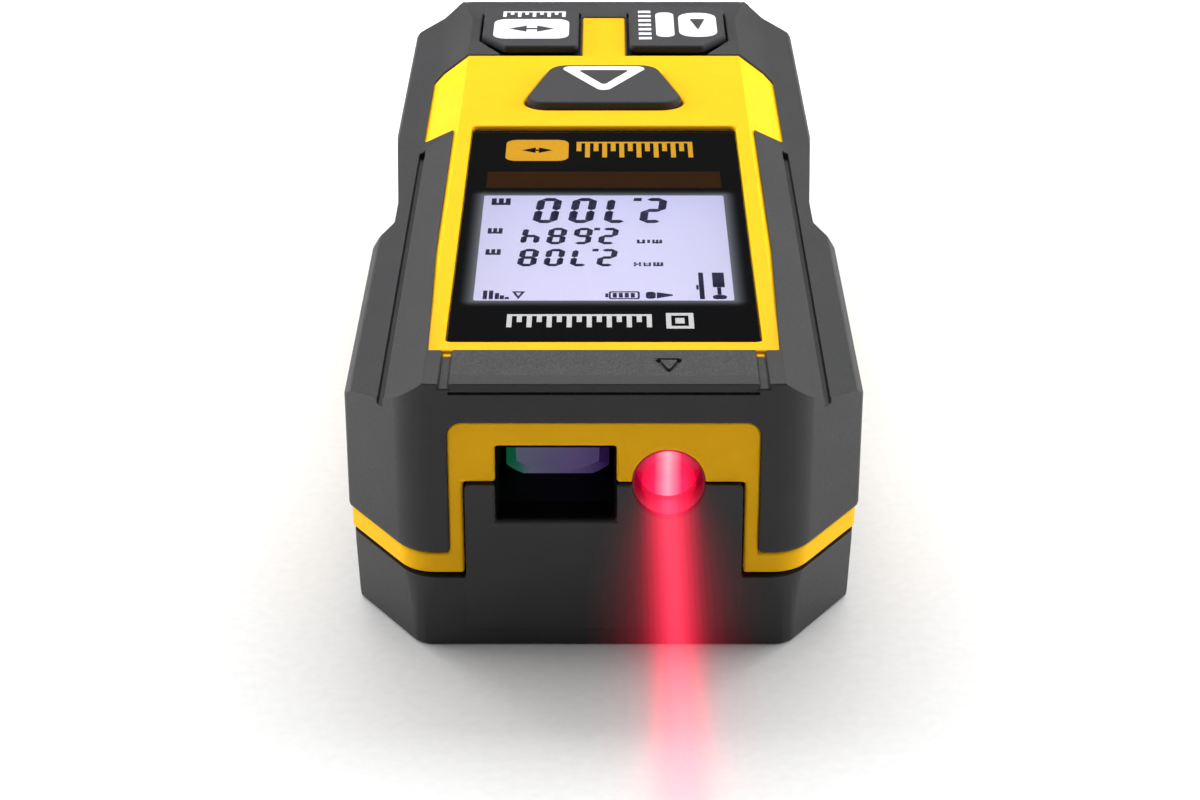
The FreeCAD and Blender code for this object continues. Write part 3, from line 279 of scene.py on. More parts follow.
def window_acrylic():
    """Polished acrylic with faint wipe marks."""
    paint = Paint("window_acrylic", Transmission_Weight=1.0, IOR=1.49, Specular_IOR_Level=0.3,
                  Base_Color=(1.0, 1.0, 1.0, 1.0))
    wipes = paint.noise(90.0, 4.0, 0.6, paint.stretched((1.0, 0.25, 1.0)))
    paint.rough(paint.range(wipes, 0.4, 0.75, 0.0, 0.05))
    paint.bump(paint.noise(60.0, 2.0), 0.05, 0.00001)
    return paint.material


# how far the display's light spreads under its border, and what the whole border has of it
GLOW_REACH = 1.6 * MM
STRAY_LIGHT = 0.007


def black_print(low, high):
    """The window's printed border round an opening: deep black, lit a little along the lit display's edge."""
    paint = Paint("black_print", Specular_IOR_Level=0.04)
    fleck = paint.noise(2500.0, 2.0)
    paint.colour(paint.ramp(fleck, (0.3, (0.002, 0.002, 0.002)), (0.8, (0.004, 0.004, 0.004))))
    paint.rough(paint.range(fleck, 0.3, 0.7, 0.35, 0.5))
    away = []
    for axis, start, end in (("X", low.x, high.x), ("Y", low.y, high.y)):
        centre, half = (start + end) / 2, (end - start) / 2
        offset = paint.math("ABSOLUTE", paint.math("SUBTRACT", paint.part(axis), centre))
        beyond = paint.math("MAXIMUM", paint.math("SUBTRACT", offset, half), 0.0)
        away.append(paint.math("MULTIPLY", beyond, beyond))
    distance = paint.math("SQRT", paint.math("ADD", *away))
    glow = paint.math("POWER", paint.range(distance, 0.0, GLOW_REACH, 1.0, 0.0), 2.0)
    paint.shader.inputs["Emission Color"].default_value = (0.50, 0.53, 0.62, 1.0)
    paint.wire(paint.math("ADD", paint.math("MULTIPLY", glow, 0.35), STRAY_LIGHT), "Emission Strength")
    return paint.material


def ink(name, colour, light=0.0):
    """Screen-printed ink with a slightly uneven edge of pigment. With a light above zero it glows in its own
    colour: painted light.
    """
    paint = Paint(name, Specular_IOR_Level=0.1)
    pigment = paint.noise(3000.0, 3.0)
    darker = tuple(0.88 * c for c in colour)
    tone = paint.ramp(pigment, (0.3, darker), (0.7, colour))
    paint.colour(tone)
    paint.rough(paint.range(pigment, 0.3, 0.7, 0.4, 0.55))
    if light:
        paint.wire(tone, "Emission Color")
        paint.shader.inputs["Emission Strength"].default_value = light
    return paint.material


def lcd_glass():
    """The display's lit face: lilac, brighter in the middle, with faint clouding."""
    paint = Paint("lcd_glass", Base_Color=(0.25, 0.25, 0.32, 1.0), Specular_IOR_Level=0.3)
    low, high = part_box("lcd_panel")
    across = paint.range(paint.math("ABSOLUTE", paint.part("X")), 0.0, high.x, 0.0, 1.0)
    along = paint.range(paint.part("Y"), low.y, high.y, 0.0, 1.0)
    cloud = paint.noise(70.0, 2.0)
    fade = paint.math("SUBTRACT", 1.0, paint.math("MULTIPLY", paint.math("POWER", across, 3.0), 0.12))
    tone = paint.ramp(along, (0.0, (0.74, 0.71, 1.0)), (0.55, (0.72, 0.70, 0.99)), (1.0, (0.62, 0.62, 0.97)))
    paint.wire(paint.mix(paint.range(cloud, 0.3, 0.7, 0.0, 0.15), tone, (0.80, 0.79, 1.0)), "Emission Color")
    paint.wire(paint.math("MULTIPLY", fade, 1.16), "Emission Strength")
    paint.rough(paint.range(cloud, 0.3, 0.7, 0.3, 0.4))
    return paint.material


def lens_glass():
    """Coated glass with a painted reflection: a colour ramp, also glowing a little, that runs from green on
    the left over lilac to deep purple on the right as the surface turns.
    """
    paint = Paint("lens_glass", Metallic=0.0, Specular_IOR_Level=0.6, Coat_Weight=1.0, Coat_Roughness=0.03)
    low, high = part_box("receiver_lens")
    middle = (low.x + high.x) / 2
    turn = paint.math("ADD", paint.math("MULTIPLY", paint.facing("X"), 1.1),
                      paint.math("MULTIPLY", paint.math("SUBTRACT", paint.part("X"), middle), 60.0))
    swirl = paint.noise(500.0, 2.0)
    turn = paint.math("ADD", turn, paint.math("MULTIPLY", paint.math("SUBTRACT", swirl, 0.5), 0.05))
    tone = paint.ramp(paint.range(turn, -1.0, 1.0, 0.0, 1.0),
                      (0.10, (0.0, 0.14, 0.05)), (0.30, (0.02, 0.17, 0.10)), (0.36, (0.16, 0.17, 0.26)),
                      (0.55, (0.15, 0.11, 0.27)), (0.75, (0.05, 0.02, 0.12)), (0.95, (0.015, 0.0, 0.035)))
    paint.colour(tone)
    paint.wire(tone, "Emission Color")
    paint.shader.inputs["Emission Strength"].default_value = 0.5
    paint.rough(paint.range(swirl, 0.3, 0.7, 0.05, 0.09))
    return paint.material


def laser_lit_sleeve():
    """The sleeve in the exit hole, lit crimson by the beam: brightest along its middle, dark at its sides."""
    paint = Paint("laser_lit_sleeve", Base_Color=(0.05, 0.0, 0.003, 1.0), Specular_IOR_Level=0.3)
    low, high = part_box("laser_liner")
    middle = (low.x + high.x) / 2
    aside = paint.range(paint.math("ABSOLUTE", paint.math("SUBTRACT", paint.part("X"), middle)),
                        0.0, (high.x - low.x) / 2, 0.0, 1.0)
    shimmer = paint.noise(900.0, 2.0)
    tone = paint.ramp(aside, (0.0, (0.80, 0.04, 0.11)), (0.3, (0.55, 0.003, 0.04)), (0.7, (0.28, 0.0, 0.015)),
                      (1.0, (0.09, 0.0, 0.003)))
    paint.wire(tone, "Emission Color")
    paint.wire(paint.range(shimmer, 0.3, 0.7, 0.8, 1.0), "Emission Strength")
    paint.rough(paint.range(shimmer, 0.3, 0.7, 0.25, 0.35))
    return paint.material


def beam_glass():
    """The collimator, where the beam leaves: pink-white in the middle, crimson at the rim."""
    paint = Paint("beam_glass", Base_Color=(0.2, 0.0, 0.02, 1.0), Specular_IOR_Level=0.2)
    low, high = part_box("collimator_lens")
    middle = (low + high) / 2
    aside = paint.math("ABSOLUTE", paint.math("SUBTRACT", paint.part("X"), middle.x))
    ring = paint.range(aside, 0.0, BEAM_START * MM, 0.0, 1.0)
    shimmer = paint.noise(700.0, 2.0)
    tone = paint.ramp(ring, (0.0, (1.0, 0.50, 0.60)), (0.20, (1.0, 0.28, 0.40)), (0.50, (0.85, 0.02, 0.11)),
                      (1.0, (0.50, 0.0, 0.03)))
    paint.wire(tone, "Emission Color")
    paint.wire(paint.range(shimmer, 0.3, 0.7, 0.9, 1.05), "Emission Strength")
    paint.rough(paint.range(shimmer, 0.3, 0.7, 0.08, 0.14))
    return paint.material


def metal(name, light, dark, rough, scratch=(1.0, 1.0, 0.06)):
    """Plated or turned metal: fine drawn scratches over a clouded plating."""
    paint = Paint(name, Metallic=1.0)
    drawn = paint.noise(3500.0, 3.0, 0.6, paint.stretched(scratch))
    clouds = paint.noise(400.0, 3.0)
    paint.colour(paint.mix(paint.range(clouds, 0.3, 0.7, 0.0, 1.0), dark, light))
    paint.rough(paint.range(drawn, 0.3, 0.7, *rough))
    paint.bump(drawn, 0.3, 0.00002)
    return paint.material


def moulded(name, dark, light, rough=(0.4, 0.55), texture=5000.0, **values):
    """Plain moulded material: slight clouding of the colour and a fine spark-eroded texture."""
    paint = Paint(name, **values)
    grain = paint.noise(texture, 3.0, 0.6)
    clouds = paint.noise(250.0, 3.0)
    paint.colour(paint.mix(paint.range(clouds, 0.3, 0.7, 0.0, 1.0), dark, light))
    paint.rough(paint.range(grain, 0.3, 0.7, *rough))
    paint.bump(grain, 0.3, 0.00003)
    return paint.material


def board_laminate():
    """Green solder mask over copper tracks and woven glass."""
    paint = Paint("board_laminate", Specular_IOR_Level=0.5)
    tracks = paint.add("ShaderNodeTexBrick", offset=0.37, squash=0.6, squash_frequency=3)
    paint.wire(paint.place, tracks.inputs["Vector"])
    pattern = {"Scale": 160.0, "Mortar Size": 0.03, "Bias": -0.2, "Brick Width": 0.9, "Row Height": 0.22}
    for socket, value in pattern.items():
        tracks.inputs[socket].default_value = value
    weave = paint.noise(2600.0, 1.0)
    tone = paint.mix(tracks.outputs["Fac"], (0.008, 0.09, 0.03), (0.05, 0.22, 0.08))
    paint.colour(paint.mix(paint.range(weave, 0.4, 0.7, 0.0, 0.3), tone, (0.02, 0.14, 0.06)))
    paint.rough(paint.range(weave, 0.3, 0.7, 0.25, 0.4))
    paint.bump(tracks.outputs["Fac"], 0.3, 0.00003)
    return paint.material


def ribbon_film():
    """Amber film with copper traces that run along it."""
    paint = Paint("ribbon_film", Specular_IOR_Level=0.5)
    lines = paint.add("ShaderNodeTexWave", bands_direction="X")
    paint.wire(paint.place, lines.inputs["Vector"])
    lines.inputs["Scale"].default_value = 900.0
    tone = paint.ramp(lines.outputs["Fac"], (0.45, (0.55, 0.24, 0.03)), (0.6, (0.75, 0.42, 0.08)))
    paint.colour(tone)
    paint.rough(paint.range(paint.noise(1500.0), 0.3, 0.7, 0.2, 0.35))
    return paint.material


def cell_wrap():
    """A battery's printed wrap: dark at both ends and paler in the middle, with paler, partly metallic
    scuffs.
    """
    paint = Paint("cell_wrap", Coat_Weight=0.4)
    scuffs = paint.noise(700.0, 4.0, 0.6)
    low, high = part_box("batteries")
    along = paint.range(paint.part("Y"), low.y, high.y, 0.0, 1.0)
    tone = paint.ramp(along, (0.0, (0.10, 0.10, 0.11)), (0.5, (0.16, 0.16, 0.17)), (1.0, (0.10, 0.10, 0.11)))
    paint.colour(paint.mix(paint.range(scuffs, 0.5, 0.8, 0.0, 0.4), tone, (0.25, 0.25, 0.26)))
    paint.wire(paint.range(scuffs, 0.3, 0.7, 0.3, 0.5), "Metallic")
    paint.rough(paint.range(scuffs, 0.3, 0.7, 0.25, 0.4))
    return paint.material


PAINTS = {
    "armour_rubber": armour_rubber(),
    "yellow_plastic": yellow_plastic(),
    "charcoal_plastic": charcoal_plastic(),
    "black_rubber": rubber_skin("black_rubber", (0.010, 0.010, 0.010), (0.016, 0.016, 0.016),
                                4000.0, 0.00005),
    "key_rubber": rubber_skin("key_rubber", (0.016, 0.016, 0.017), (0.022, 0.022, 0.024),
                              6500.0, 0.00004),
    "window_acrylic": window_acrylic(),
    "lcd_glass": lcd_glass(),
    "lens_glass": lens_glass(),
    "laser_lit_sleeve": laser_lit_sleeve(),
    "collimator_lens": beam_glass(),
    # the barrel's front is painted crimson and glowing instead of brass: painted light from the beam
    "laser_barrel": ink("lit_brass", (0.26, 0.0, 0.02), 0.8),
    "receiver_hood": moulded("flocked_black", (0.002, 0.002, 0.002), (0.004, 0.004, 0.004), (0.7, 0.9),
                             Specular_IOR_Level=0.05),
    "optics_chassis": moulded("chassis_black", (0.004, 0.004, 0.004), (0.008, 0.008, 0.008), (0.6, 0.8),
                              Specular_IOR_Level=0.15),
    "zinc_steel": metal("zinc_steel", (0.66, 0.66, 0.67), (0.52, 0.52, 0.54), (0.25, 0.4)),
    "spring_steel": metal("spring_steel", (0.75, 0.74, 0.72), (0.62, 0.62, 0.60), (0.18, 0.3)),
    "tinplate": metal("tinplate", (0.62, 0.62, 0.60), (0.50, 0.50, 0.49), (0.3, 0.45), (1.0, 0.06, 1.0)),
    "brass": metal("brass", (0.80, 0.60, 0.28), (0.62, 0.43, 0.17), (0.2, 0.35), (1.0, 0.06, 1.0)),
    "label_foil": metal("label_foil", (0.62, 0.62, 0.63), (0.52, 0.52, 0.53), (0.32, 0.48), (1.0, 0.04, 1.0)),
    "white_print": moulded("white_print", (0.80, 0.81, 0.83), (0.88, 0.89, 0.91), (0.35, 0.5)),
    "silicone": moulded("silicone", (0.52, 0.52, 0.55), (0.62, 0.62, 0.64), (0.35, 0.5),
                        Subsurface_Weight=0.3, Subsurface_Scale=0.001),
    "diffuser": moulded("diffuser", (0.86, 0.86, 0.92), (0.92, 0.92, 0.97), (0.3, 0.4)),
    "black_plastic": moulded("black_plastic", (0.012, 0.012, 0.013), (0.019, 0.019, 0.020), (0.5, 0.65)),
    "chip_epoxy": moulded("chip_epoxy", (0.018, 0.018, 0.019), (0.028, 0.028, 0.030), (0.5, 0.6)),
    "filter_glass": moulded("filter_glass", (0.22, 0.01, 0.015), (0.32, 0.02, 0.03), (0.05, 0.1),
                            Coat_Weight=1.0),
    "board_laminate": board_laminate(),
    "ribbon_film": ribbon_film(),
    "cell_wrap": cell_wrap(),
}


# ---- pieces made from the frame's own parts ----

def settle(obj):
    """Applies an object's modifiers to its mesh."""
    bpy.context.view_layer.update()
    depsgraph = bpy.context.evaluated_depsgraph_get()
    mesh = bpy.data.meshes.new_from_object(obj.evaluated_get(depsgraph), depsgraph=depsgraph)
    obj.modifiers.clear()
    obj.data = mesh
    return obj


def show(obj):
    bpy.context.scene.collection.objects.link(obj)
    return obj


def place(name, mesh, material, body, slot):
    """Puts a finished mesh into the scene as a piece that rides on a body."""
    obj = show(bpy.data.objects.new(name, mesh))
    mesh.materials.clear()
    mesh.materials.append(material)
    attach(obj, body)
    return obj


def reach(face, edge):
    """How far a face spreads from one of its edges."""
    start, end = (vert.co for vert in edge.verts)
    line = (end - start).normalized()
    return max(((vert.co - start) - (vert.co - start).dot(line) * line).length for vert in face.verts)


def turn_between(edge, other, vert):
    """The angle that a path along edge turns by where it goes on along other at vert."""
    arriving = vert.co - edge.other_vert(vert).co
    leaving = other.other_vert(vert).co - vert.co
    return arriving.angle(leaving, 0.0)


def room_at(edge, vert):
    """How wide a rounding of edge may be at one of its ends: less than the short edges beside it, and less
    than the radius of the curve that it is part of."""
    room = []
    for other in vert.link_edges:
        if other is edge:
            continue
        turn = turn_between(edge, other, vert)
        if turn > CHAIN_TURN:
            room.append(other.calc_length() * math.sin(turn) * END_SHARE)
        elif turn > CURVE_TURN and set(other.link_faces) & set(edge.link_faces):
            room.append((edge.calc_length() + other.calc_length()) / 2 / turn * CURVE_SHARE)
    return min(room, default=1.0)


def rounding_widths(bm, limit, share):
    """The width of the rounding on each sharp edge, even along each smoothly running chain of edges."""
    widths = {}
    for edge in bm.edges:
        if len(edge.link_faces) == 2 and edge.calc_face_angle(0) >= EDGE_ANGLE:
            across = share * min(reach(face, edge) for face in edge.link_faces)
            widths[edge] = min([limit(edge), across] + [room_at(edge, vert) for vert in edge.verts])
    waiting = sorted(widths, key=lambda edge: widths[edge])
    while waiting:
        edge = waiting.pop(0)
        for vert in edge.verts:
            for other in vert.link_edges:
                wider = widths.get(other, 0.0) > widths[edge]
                if wider and turn_between(edge, other, vert) < CHAIN_TURN:
                    widths[other] = widths[edge]
                    waiting.append(other)
    return widths


def clean_mesh(node):
    """The node's mesh with whole flat faces instead of triangles."""
    bm = bmesh.new()
    bm.from_mesh(NODES[node].data)
    bmesh.ops.remove_doubles(bm, verts=bm.verts, dist=2e-6)
    bmesh.ops.dissolve_limit(bm, angle_limit=math.radians(0.5), verts=bm.verts, edges=bm.edges,
                             delimit={"NORMAL"})
    return bm


def is_flat(face):
    """Whether a face stands alone, and isn't one of the narrow facets that make up a curved surface."""
    angles = [edge.calc_face_angle(0) for edge in face.edges if len(edge.link_faces) == 2]
    curves_on = any(FACET_TURN < angle < EDGE_ANGLE for angle in angles)
    return not curves_on or face.calc_area() > FLAT_AREA


def shade(mesh):
    """Gives each flat face its own normal, runs the roundings into it smoothly and marks them for the
    materials' edge wear and painted edge light.
    """
    around = [[] for _ in mesh.vertices]
    for face in mesh.polygons:
        for index in face.vertices:
            around[index].append(face)
    normals = []
    for face in mesh.polygons:
        for index in face.vertices:
            beside = [other for other in around[index] if other.normal.dot(face.normal) > SHADE_TURN]
            flat = [other for other in beside if other.material_index == FLAT]
            if face.material_index == FLAT:
                normal = face.normal.copy()
            elif flat:
                normal = max(flat, key=lambda other: other.normal.dot(face.normal)).normal.copy()
            else:
                normal = sum((other.normal * other.area for other in beside), face.normal * 1e-9).normalized()
            normals.append(normal)
    wear_and_edge_light = mesh.attributes.new(WEAR_AND_EDGE_LIGHT, "FLOAT", "FACE")
    for face in mesh.polygons:
        wear_and_edge_light.data[face.index].value = 1.0 if face.material_index == ROUNDED else 0.0
        face.material_index = 0
    mesh.normals_split_custom_set(normals)


# how refine() marks new faces on rounded edges, and the faces that the node had
ROUNDED, FLAT, CURVED = 0, 1, 2
# a face this large is flat, and facets that meet at more than this many radians belong to a curve
FLAT_AREA = 25 * MM ** 2
FACET_TURN = 0.02
# normals this close, as a cosine, are shaded as one surface
SHADE_TURN = math.cos(math.radians(50))
# an edge this sharp is rounded, by at most these shares of its faces, its short neighbours and its curve
EDGE_ANGLE = math.radians(25)
EDGE_SHARE = 0.2
END_SHARE = 0.4
CURVE_SHARE = 0.7
# a rounding keeps its width round turns up to the first angle; turns above the second show a curve
CHAIN_TURN = math.radians(28)
CURVE_TURN = math.radians(3)


def refine(node, radius, slot, share=EDGE_SHARE, steps=3):
    """A piece that stands for a node, with its sharp edges rounded by up to a radius, in metres, or by up to
    what radius(edge) says."""
    bm = clean_mesh(node)
    weight = bm.edges.layers.float.new("bevel_weight_edge")
    for face in bm.faces:
        face.smooth = True
        face.material_index = FLAT if is_flat(face) else CURVED
    widths = rounding_widths(bm, radius if callable(radius) else lambda edge: radius, share)
    widest = max(widths.values())
    for edge, width in widths.items():
        edge[weight] = width / widest
    mesh = bpy.data.meshes.new(node)
    bm.to_mesh(mesh)
    bm.free()
    body = NODES[node]["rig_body"]
    piece = place(f"{node}_body", mesh, PAINTS[slot], body, slot)
    bevel = piece.modifiers.new("round", "BEVEL")
    bevel.limit_method = "WEIGHT"
    bevel.width = widest
    bevel.segments = steps
    bevel.use_clamp_overlap = False
    bevel.material = ROUNDED
    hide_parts(node)
    settle(piece)
    shade(piece.data)
    return piece


def lower_shell_limit(edge):
    """The lower shell's foot is well rounded and its joint line stays crisp."""
    return 1.3 * MM if max(vert.co.z for vert in edge.verts) < 4 * MM else 0.3 * MM


# nodes with rounded edges: the radius or its rule, and the most of the narrower face that it may take
REFINED = {
    "rubber_armour": (0.8 * MM, 0.2),
    "upper_shell": (0.35 * MM, 0.2),
    "lower_shell": (lower_shell_limit, 0.2),
    "display_window": (0.15 * MM, 0.3),
    "measure_button": (0.3 * MM, 0.3),
    "left_key": (0.3 * MM, 0.3),
    "right_key": (0.3 * MM, 0.3),
    "measure_symbol": (0.1 * MM, 0.3),
    "battery_door": (0.3 * MM, 0.2),
    "blank_label_plate": (0.05 * MM, 0.2),
    "lanyard_pin": (0.2 * MM, 0.2),
    "case_screws": (0.3 * MM, 0.2),
}
# the domes under the keys, and the joint of each key
DOMES = {"measure_dome": "measure_press", "left_dome": "left_press", "right_dome": "right_press"}
SLOTS = {row["node"]: row["material_slot"] for row in frame["record"]["subparts"]}


def dress_frame():
    """Rounds the nodes that are handled or seen, and paints every other node as it is."""
    for node, slot in SLOTS.items():
        if node in REFINED:
            radius, share = REFINED[node]
            refine(node, radius, slot, share)
            continue
        mesh = NODES[node].data
        mesh.materials.clear()
        mesh.materials.append(PAINTS.get(node) or PAINTS[slot])


def soften_domes():
    """Rounds each key's silicone dome and gives the piece a mesh of its own."""
    for node, joint in DOMES.items():
        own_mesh(refine(node, 0.1 * MM, "silicone"))


dress_frame()
soften_domes()


# the receiver lens: half the arc of its lower edge, that edge's rise, and its front facet's width and depth
LENS_ARC = math.radians(62)
LENS_STEPS = 16
LENS_SAG = 1.6 * MM
LENS_FACET = 1.1 * MM
LENS_FACET_DEPTH = 0.4 * MM


def lens_outline(low, high):
    """The receiver lens seen from the front: a round lens cut off at its sides, in x and z."""
    middle, half = (low.x + high.x) / 2, (high.x - low.x) / 2
    turns = [(2 * step / LENS_STEPS - 1) * LENS_ARC for step in range(LENS_STEPS + 1)]
    rise = [(1.0 - math.cos(turn)) / (1.0 - math.cos(LENS_ARC)) * LENS_SAG for turn in turns]
    bottom = [(middle + half * math.sin(turn), low.z + up) for turn, up in zip(turns, rise)]
    return bottom + [(bottom[-1][0], high.z), (bottom[0][0], high.z)]


def cut_lens():
    """The receiver lens with a faceted, coated front."""
    low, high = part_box("receiver_lens")
    bm = bmesh.new()
    face = bm.faces.new([bm.verts.new((x, low.y + LENS_FACET_DEPTH, z)) for x, z in lens_outline(low, high)])
    back = bmesh.ops.extrude_face_region(bm, geom=[face])
    for item in back["geom"]:
        if isinstance(item, bmesh.types.BMVert):
            item.co.y = high.y - 0.1 * MM
    bm.faces.ensure_lookup_table()
    front = min(bm.faces, key=lambda f: f.calc_center_median().y)
    bmesh.ops.inset_individual(bm, faces=[front], thickness=LENS_FACET, depth=0.0)
    for vert in front.verts:
        vert.co.y = low.y + 0.02 * MM
    bmesh.ops.recalc_face_normals(bm, faces=bm.faces)
    mesh = bpy.data.meshes.new("receiver_lens")
    bm.to_mesh(mesh)
    bm.free()
    body = NODES["receiver_lens"]["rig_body"]
    piece = place("receiver_lens_body", mesh, PAINTS["lens_glass"], body, "lens_glass")
    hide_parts("receiver_lens")


cut_lens()


# ---- prints: thin flat pieces with outlines drawn in millimetres ----

def rounded(points, radius, steps=4):
    """A closed outline with each corner replaced by an arc."""
    made = []
    count = len(points)
    for i, point in enumerate(points):
        corner = Vector(point)
        back = Vector(points[i - 1]) - corner
        ahead = Vector(points[(i + 1) % count]) - corner
        half = back.angle(ahead) / 2
        cut = min(radius / math.tan(half), 0.45 * back.length, 0.45 * ahead.length)
        arc_radius = cut * math.tan(half)
        centre = corner + (back.normalized() + ahead.normalized()).normalized() * arc_radius / math.sin(half)
        start = corner + back.normalized() * cut - centre
        end = corner + ahead.normalized() * cut - centre
        sweep = start.angle_signed(end)
        for step in range(steps + 1):
            turned = start.copy()
            turned.rotate(Matrix.Rotation(-sweep * step / steps, 2))
            made.append(tuple(centre + turned))
    return made


def oblong(x0, x1, y0, y1, radius=0.0):
    points = [(x0, y0), (x1, y0), (x1, y1), (x0, y1)]
    return rounded(points, radius) if radius else points


def filled(name, loops, thickness):
    """A flat mesh about z 0 for one island; the loops after the first are its holes."""
    curve = bpy.data.curves.new(name, "CURVE")
    curve.dimensions = "2D"
    curve.fill_mode = "BOTH"
    curve.extrude = thickness / 2 * MM
    for loop in loops:
        spline = curve.splines.new("POLY")
        spline.points.add(len(loop) - 1)
        for point, (x, y) in zip(spline.points, loop):
            point.co = (x * MM, y * MM, 0.0, 1.0)
        spline.use_cyclic_u = True
    holder = bpy.data.objects.new(name, curve)
    mesh = bpy.data.meshes.new_from_object(holder)
    bpy.data.objects.remove(holder)
    bpy.data.curves.remove(curve)
    return mesh


def flat_mesh(name, islands, low, high):
    """Closed flat solids between two heights, in millimetres. An island is an outline, or a list of an
    outline and its holes."""
    whole = bmesh.new()
    for island in islands:
        loops = island if isinstance(island, list) and isinstance(island[0], list) else [island]
        part = filled(name, loops, high - low)
        bm = bmesh.new()
        bm.from_mesh(part)
        bmesh.ops.remove_doubles(bm, verts=bm.verts, dist=1e-7)
        bmesh.ops.recalc_face_normals(bm, faces=bm.faces)
        bm.to_mesh(part)
        bm.free()
        whole.from_mesh(part)
        bpy.data.meshes.remove(part)
    mesh = bpy.data.meshes.new(name)
    whole.to_mesh(mesh)
    whole.free()
    mesh.transform(Matrix.Translation((0.0, 0.0, (low + high) / 2 * MM)))
    return mesh


def turned_round(loops, x, y):
    """Outlines written upright, moved so that they read from the +Y end with their start at x, y."""
    return [[(x - u, y - v) for u, v in loop] for loop in loops]


def segments_of(width, height, thick):
    """The seven bars of a display digit, each with pointed ends: a is the top bar, b to f go round clockwise
    and g is in the middle."""
    half, gap = thick / 2, 0.06 * thick
    middle = height / 2
    left, right = thick + gap, width - thick - gap

    def across(v):
        return [(half + gap, v), (left, v + half), (right, v + half), (width - half - gap, v),
                (right, v - half), (left, v - half)]

    def upright(u, v0, v1):
        return [(u, v0 + gap), (u + half, v0 + half + gap), (u + half, v1 - half - gap), (u, v1 - gap),
                (u - half, v1 - half - gap), (u - half, v0 + half + gap)]

    return {
        "a": across(height - half), "g": across(middle), "d": across(half),
        "b": upright(width - half, middle, height - half), "c": upright(width - half, half, middle),
        "f": upright(half, middle, height - half), "e": upright(half, half, middle),
    }


DIGITS = {"0": "abcdef", "2": "abged", "4": "fgbc", "6": "afgedc", "7": "abc", "8": "abcdefg"}
DIGIT_SLANT = 0.08


def reading(text, width, height, pitch, thick):
    """The bars of a number such as 2.700, leaning a little to the right."""
    bars = segments_of(width, height, thick)
    loops = []
    start = 0.0
    for sign in text:
        if sign == ".":
            dot = start - (pitch - width) / 2
            loops.append(oblong(dot - thick / 2, dot + thick / 2, 0.0, thick))
            continue
        loops += [[(start + u, v) for u, v in bars[bar]] for bar in DIGITS[sign]]
        start += pitch
    return [[(u + DIGIT_SLANT * v, v) for u, v in loop] for loop in loops]


# small letters drawn as bars on a grid one unit high: left, right, bottom, top
LETTERS = {
    "m": ((0.0, 0.28, 0.0, 1.0), (0.4, 0.68, 0.0, 0.7), (0.8, 1.08, 0.0, 1.0), (0.28, 0.8, 0.7, 1.0)),
    "i": ((0.0, 0.3, 0.0, 0.9),),
    "n": ((0.0, 0.3, 0.0, 1.0), (0.6, 0.9, 0.0, 0.7), (0.3, 0.9, 0.7, 1.0)),
    "a": ((0.0, 0.2, 0.0, 0.8), (0.6, 0.8, 0.0, 0.8), (0.0, 0.8, 0.8, 1.0), (0.2, 0.6, 0.35, 0.5)),
    "x": ((0.0, 0.25, 0.0, 0.4), (0.55, 0.8, 0.0, 0.4), (0.2, 0.6, 0.4, 0.6), (0.0, 0.25, 0.6, 1.0),
          (0.55, 0.8, 0.6, 1.0)),
}


LETTER_GAP = 0.25


def unit(text, height):
    """A unit or a short word on the display."""
    loops = []
    start = 0.0
    for letter in text:
        bars = LETTERS[letter]
        loops += [oblong(start + x0 * height, start + x1 * height, y0 * height, y1 * height)
                  for x0, x1, y0, y1 in bars]
        start += (max(bar[1] for bar in bars) + LETTER_GAP) * height
    return loops


def ruler(length, height, count, thick):
    """A row of ruler marks, every second one shorter, on a base line."""
    pitch = (length - thick) / (count - 1)
    line = thick * 0.8
    marks = [oblong(0.0, length, 0.0, line)]
    for i in range(count):
        top = height if i % 2 == 0 else height * 0.6
        marks.append(oblong(i * pitch, i * pitch + thick, line + 0.02, top))
    return marks


def double_arrow(length, height, thick):
    """A distance arrow with a head at each end."""
    half, head, far = height / 2, height * 0.9, length - height * 0.9
    low, high = half - thick / 2, half + thick / 2
    return [(0.0, half), (head, height), (head, high), (far, high), (far, height),
            (length, half), (far, 0.0), (far, low), (head, low), (head, 0.0)]


HOUSING = NODES["upper_shell"]["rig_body"]
PRINT_THICKNESS = 0.03


def print_piece(name, islands, level, material, body, slot, thickness=PRINT_THICKNESS):
    """A printed piece that starts at a level; level and thickness are in millimetres."""
    return place(name, flat_mesh(name, islands, level, level + thickness), material, body, slot)


def millimetres(node):
    low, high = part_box(node)
    return low / MM, high / MM


def display():
    """What the lit display shows, in dark segments just above its glass."""
    # the dark segments glow a little: painted light
    navy = ink("segment_ink", (0.030, 0.028, 0.105), 0.3)
    level = millimetres("lcd_panel")[1].z + 0.01
    loops = turned_round(reading("2.700", 2.65, 7.2, 3.8, 0.85), 6.95, -11.2)
    loops += turned_round(reading("2.684", 1.95, 4.5, 2.72, 0.62), 1.65, -19.8)
    loops += turned_round(reading("2.708", 1.95, 4.6, 2.72, 0.62), 1.5, -25.6)
    loops += turned_round(unit("m", 1.9), -10.1, -11.3)
    loops += turned_round(unit("m", 1.45), -10.7, -19.9)
    loops += turned_round(unit("m", 1.45), -10.7, -25.7)
    loops += turned_round(unit("min", 0.95), 6.1, -23.1)
    loops += turned_round(unit("max", 0.95), 6.1, -29.2)
    loops += display_icons()
    print_piece("display_segments", loops, level, navy, HOUSING, "lcd_glass")


# the line that the icons along the display's far side stand on
ICON_FOOT = -38.6


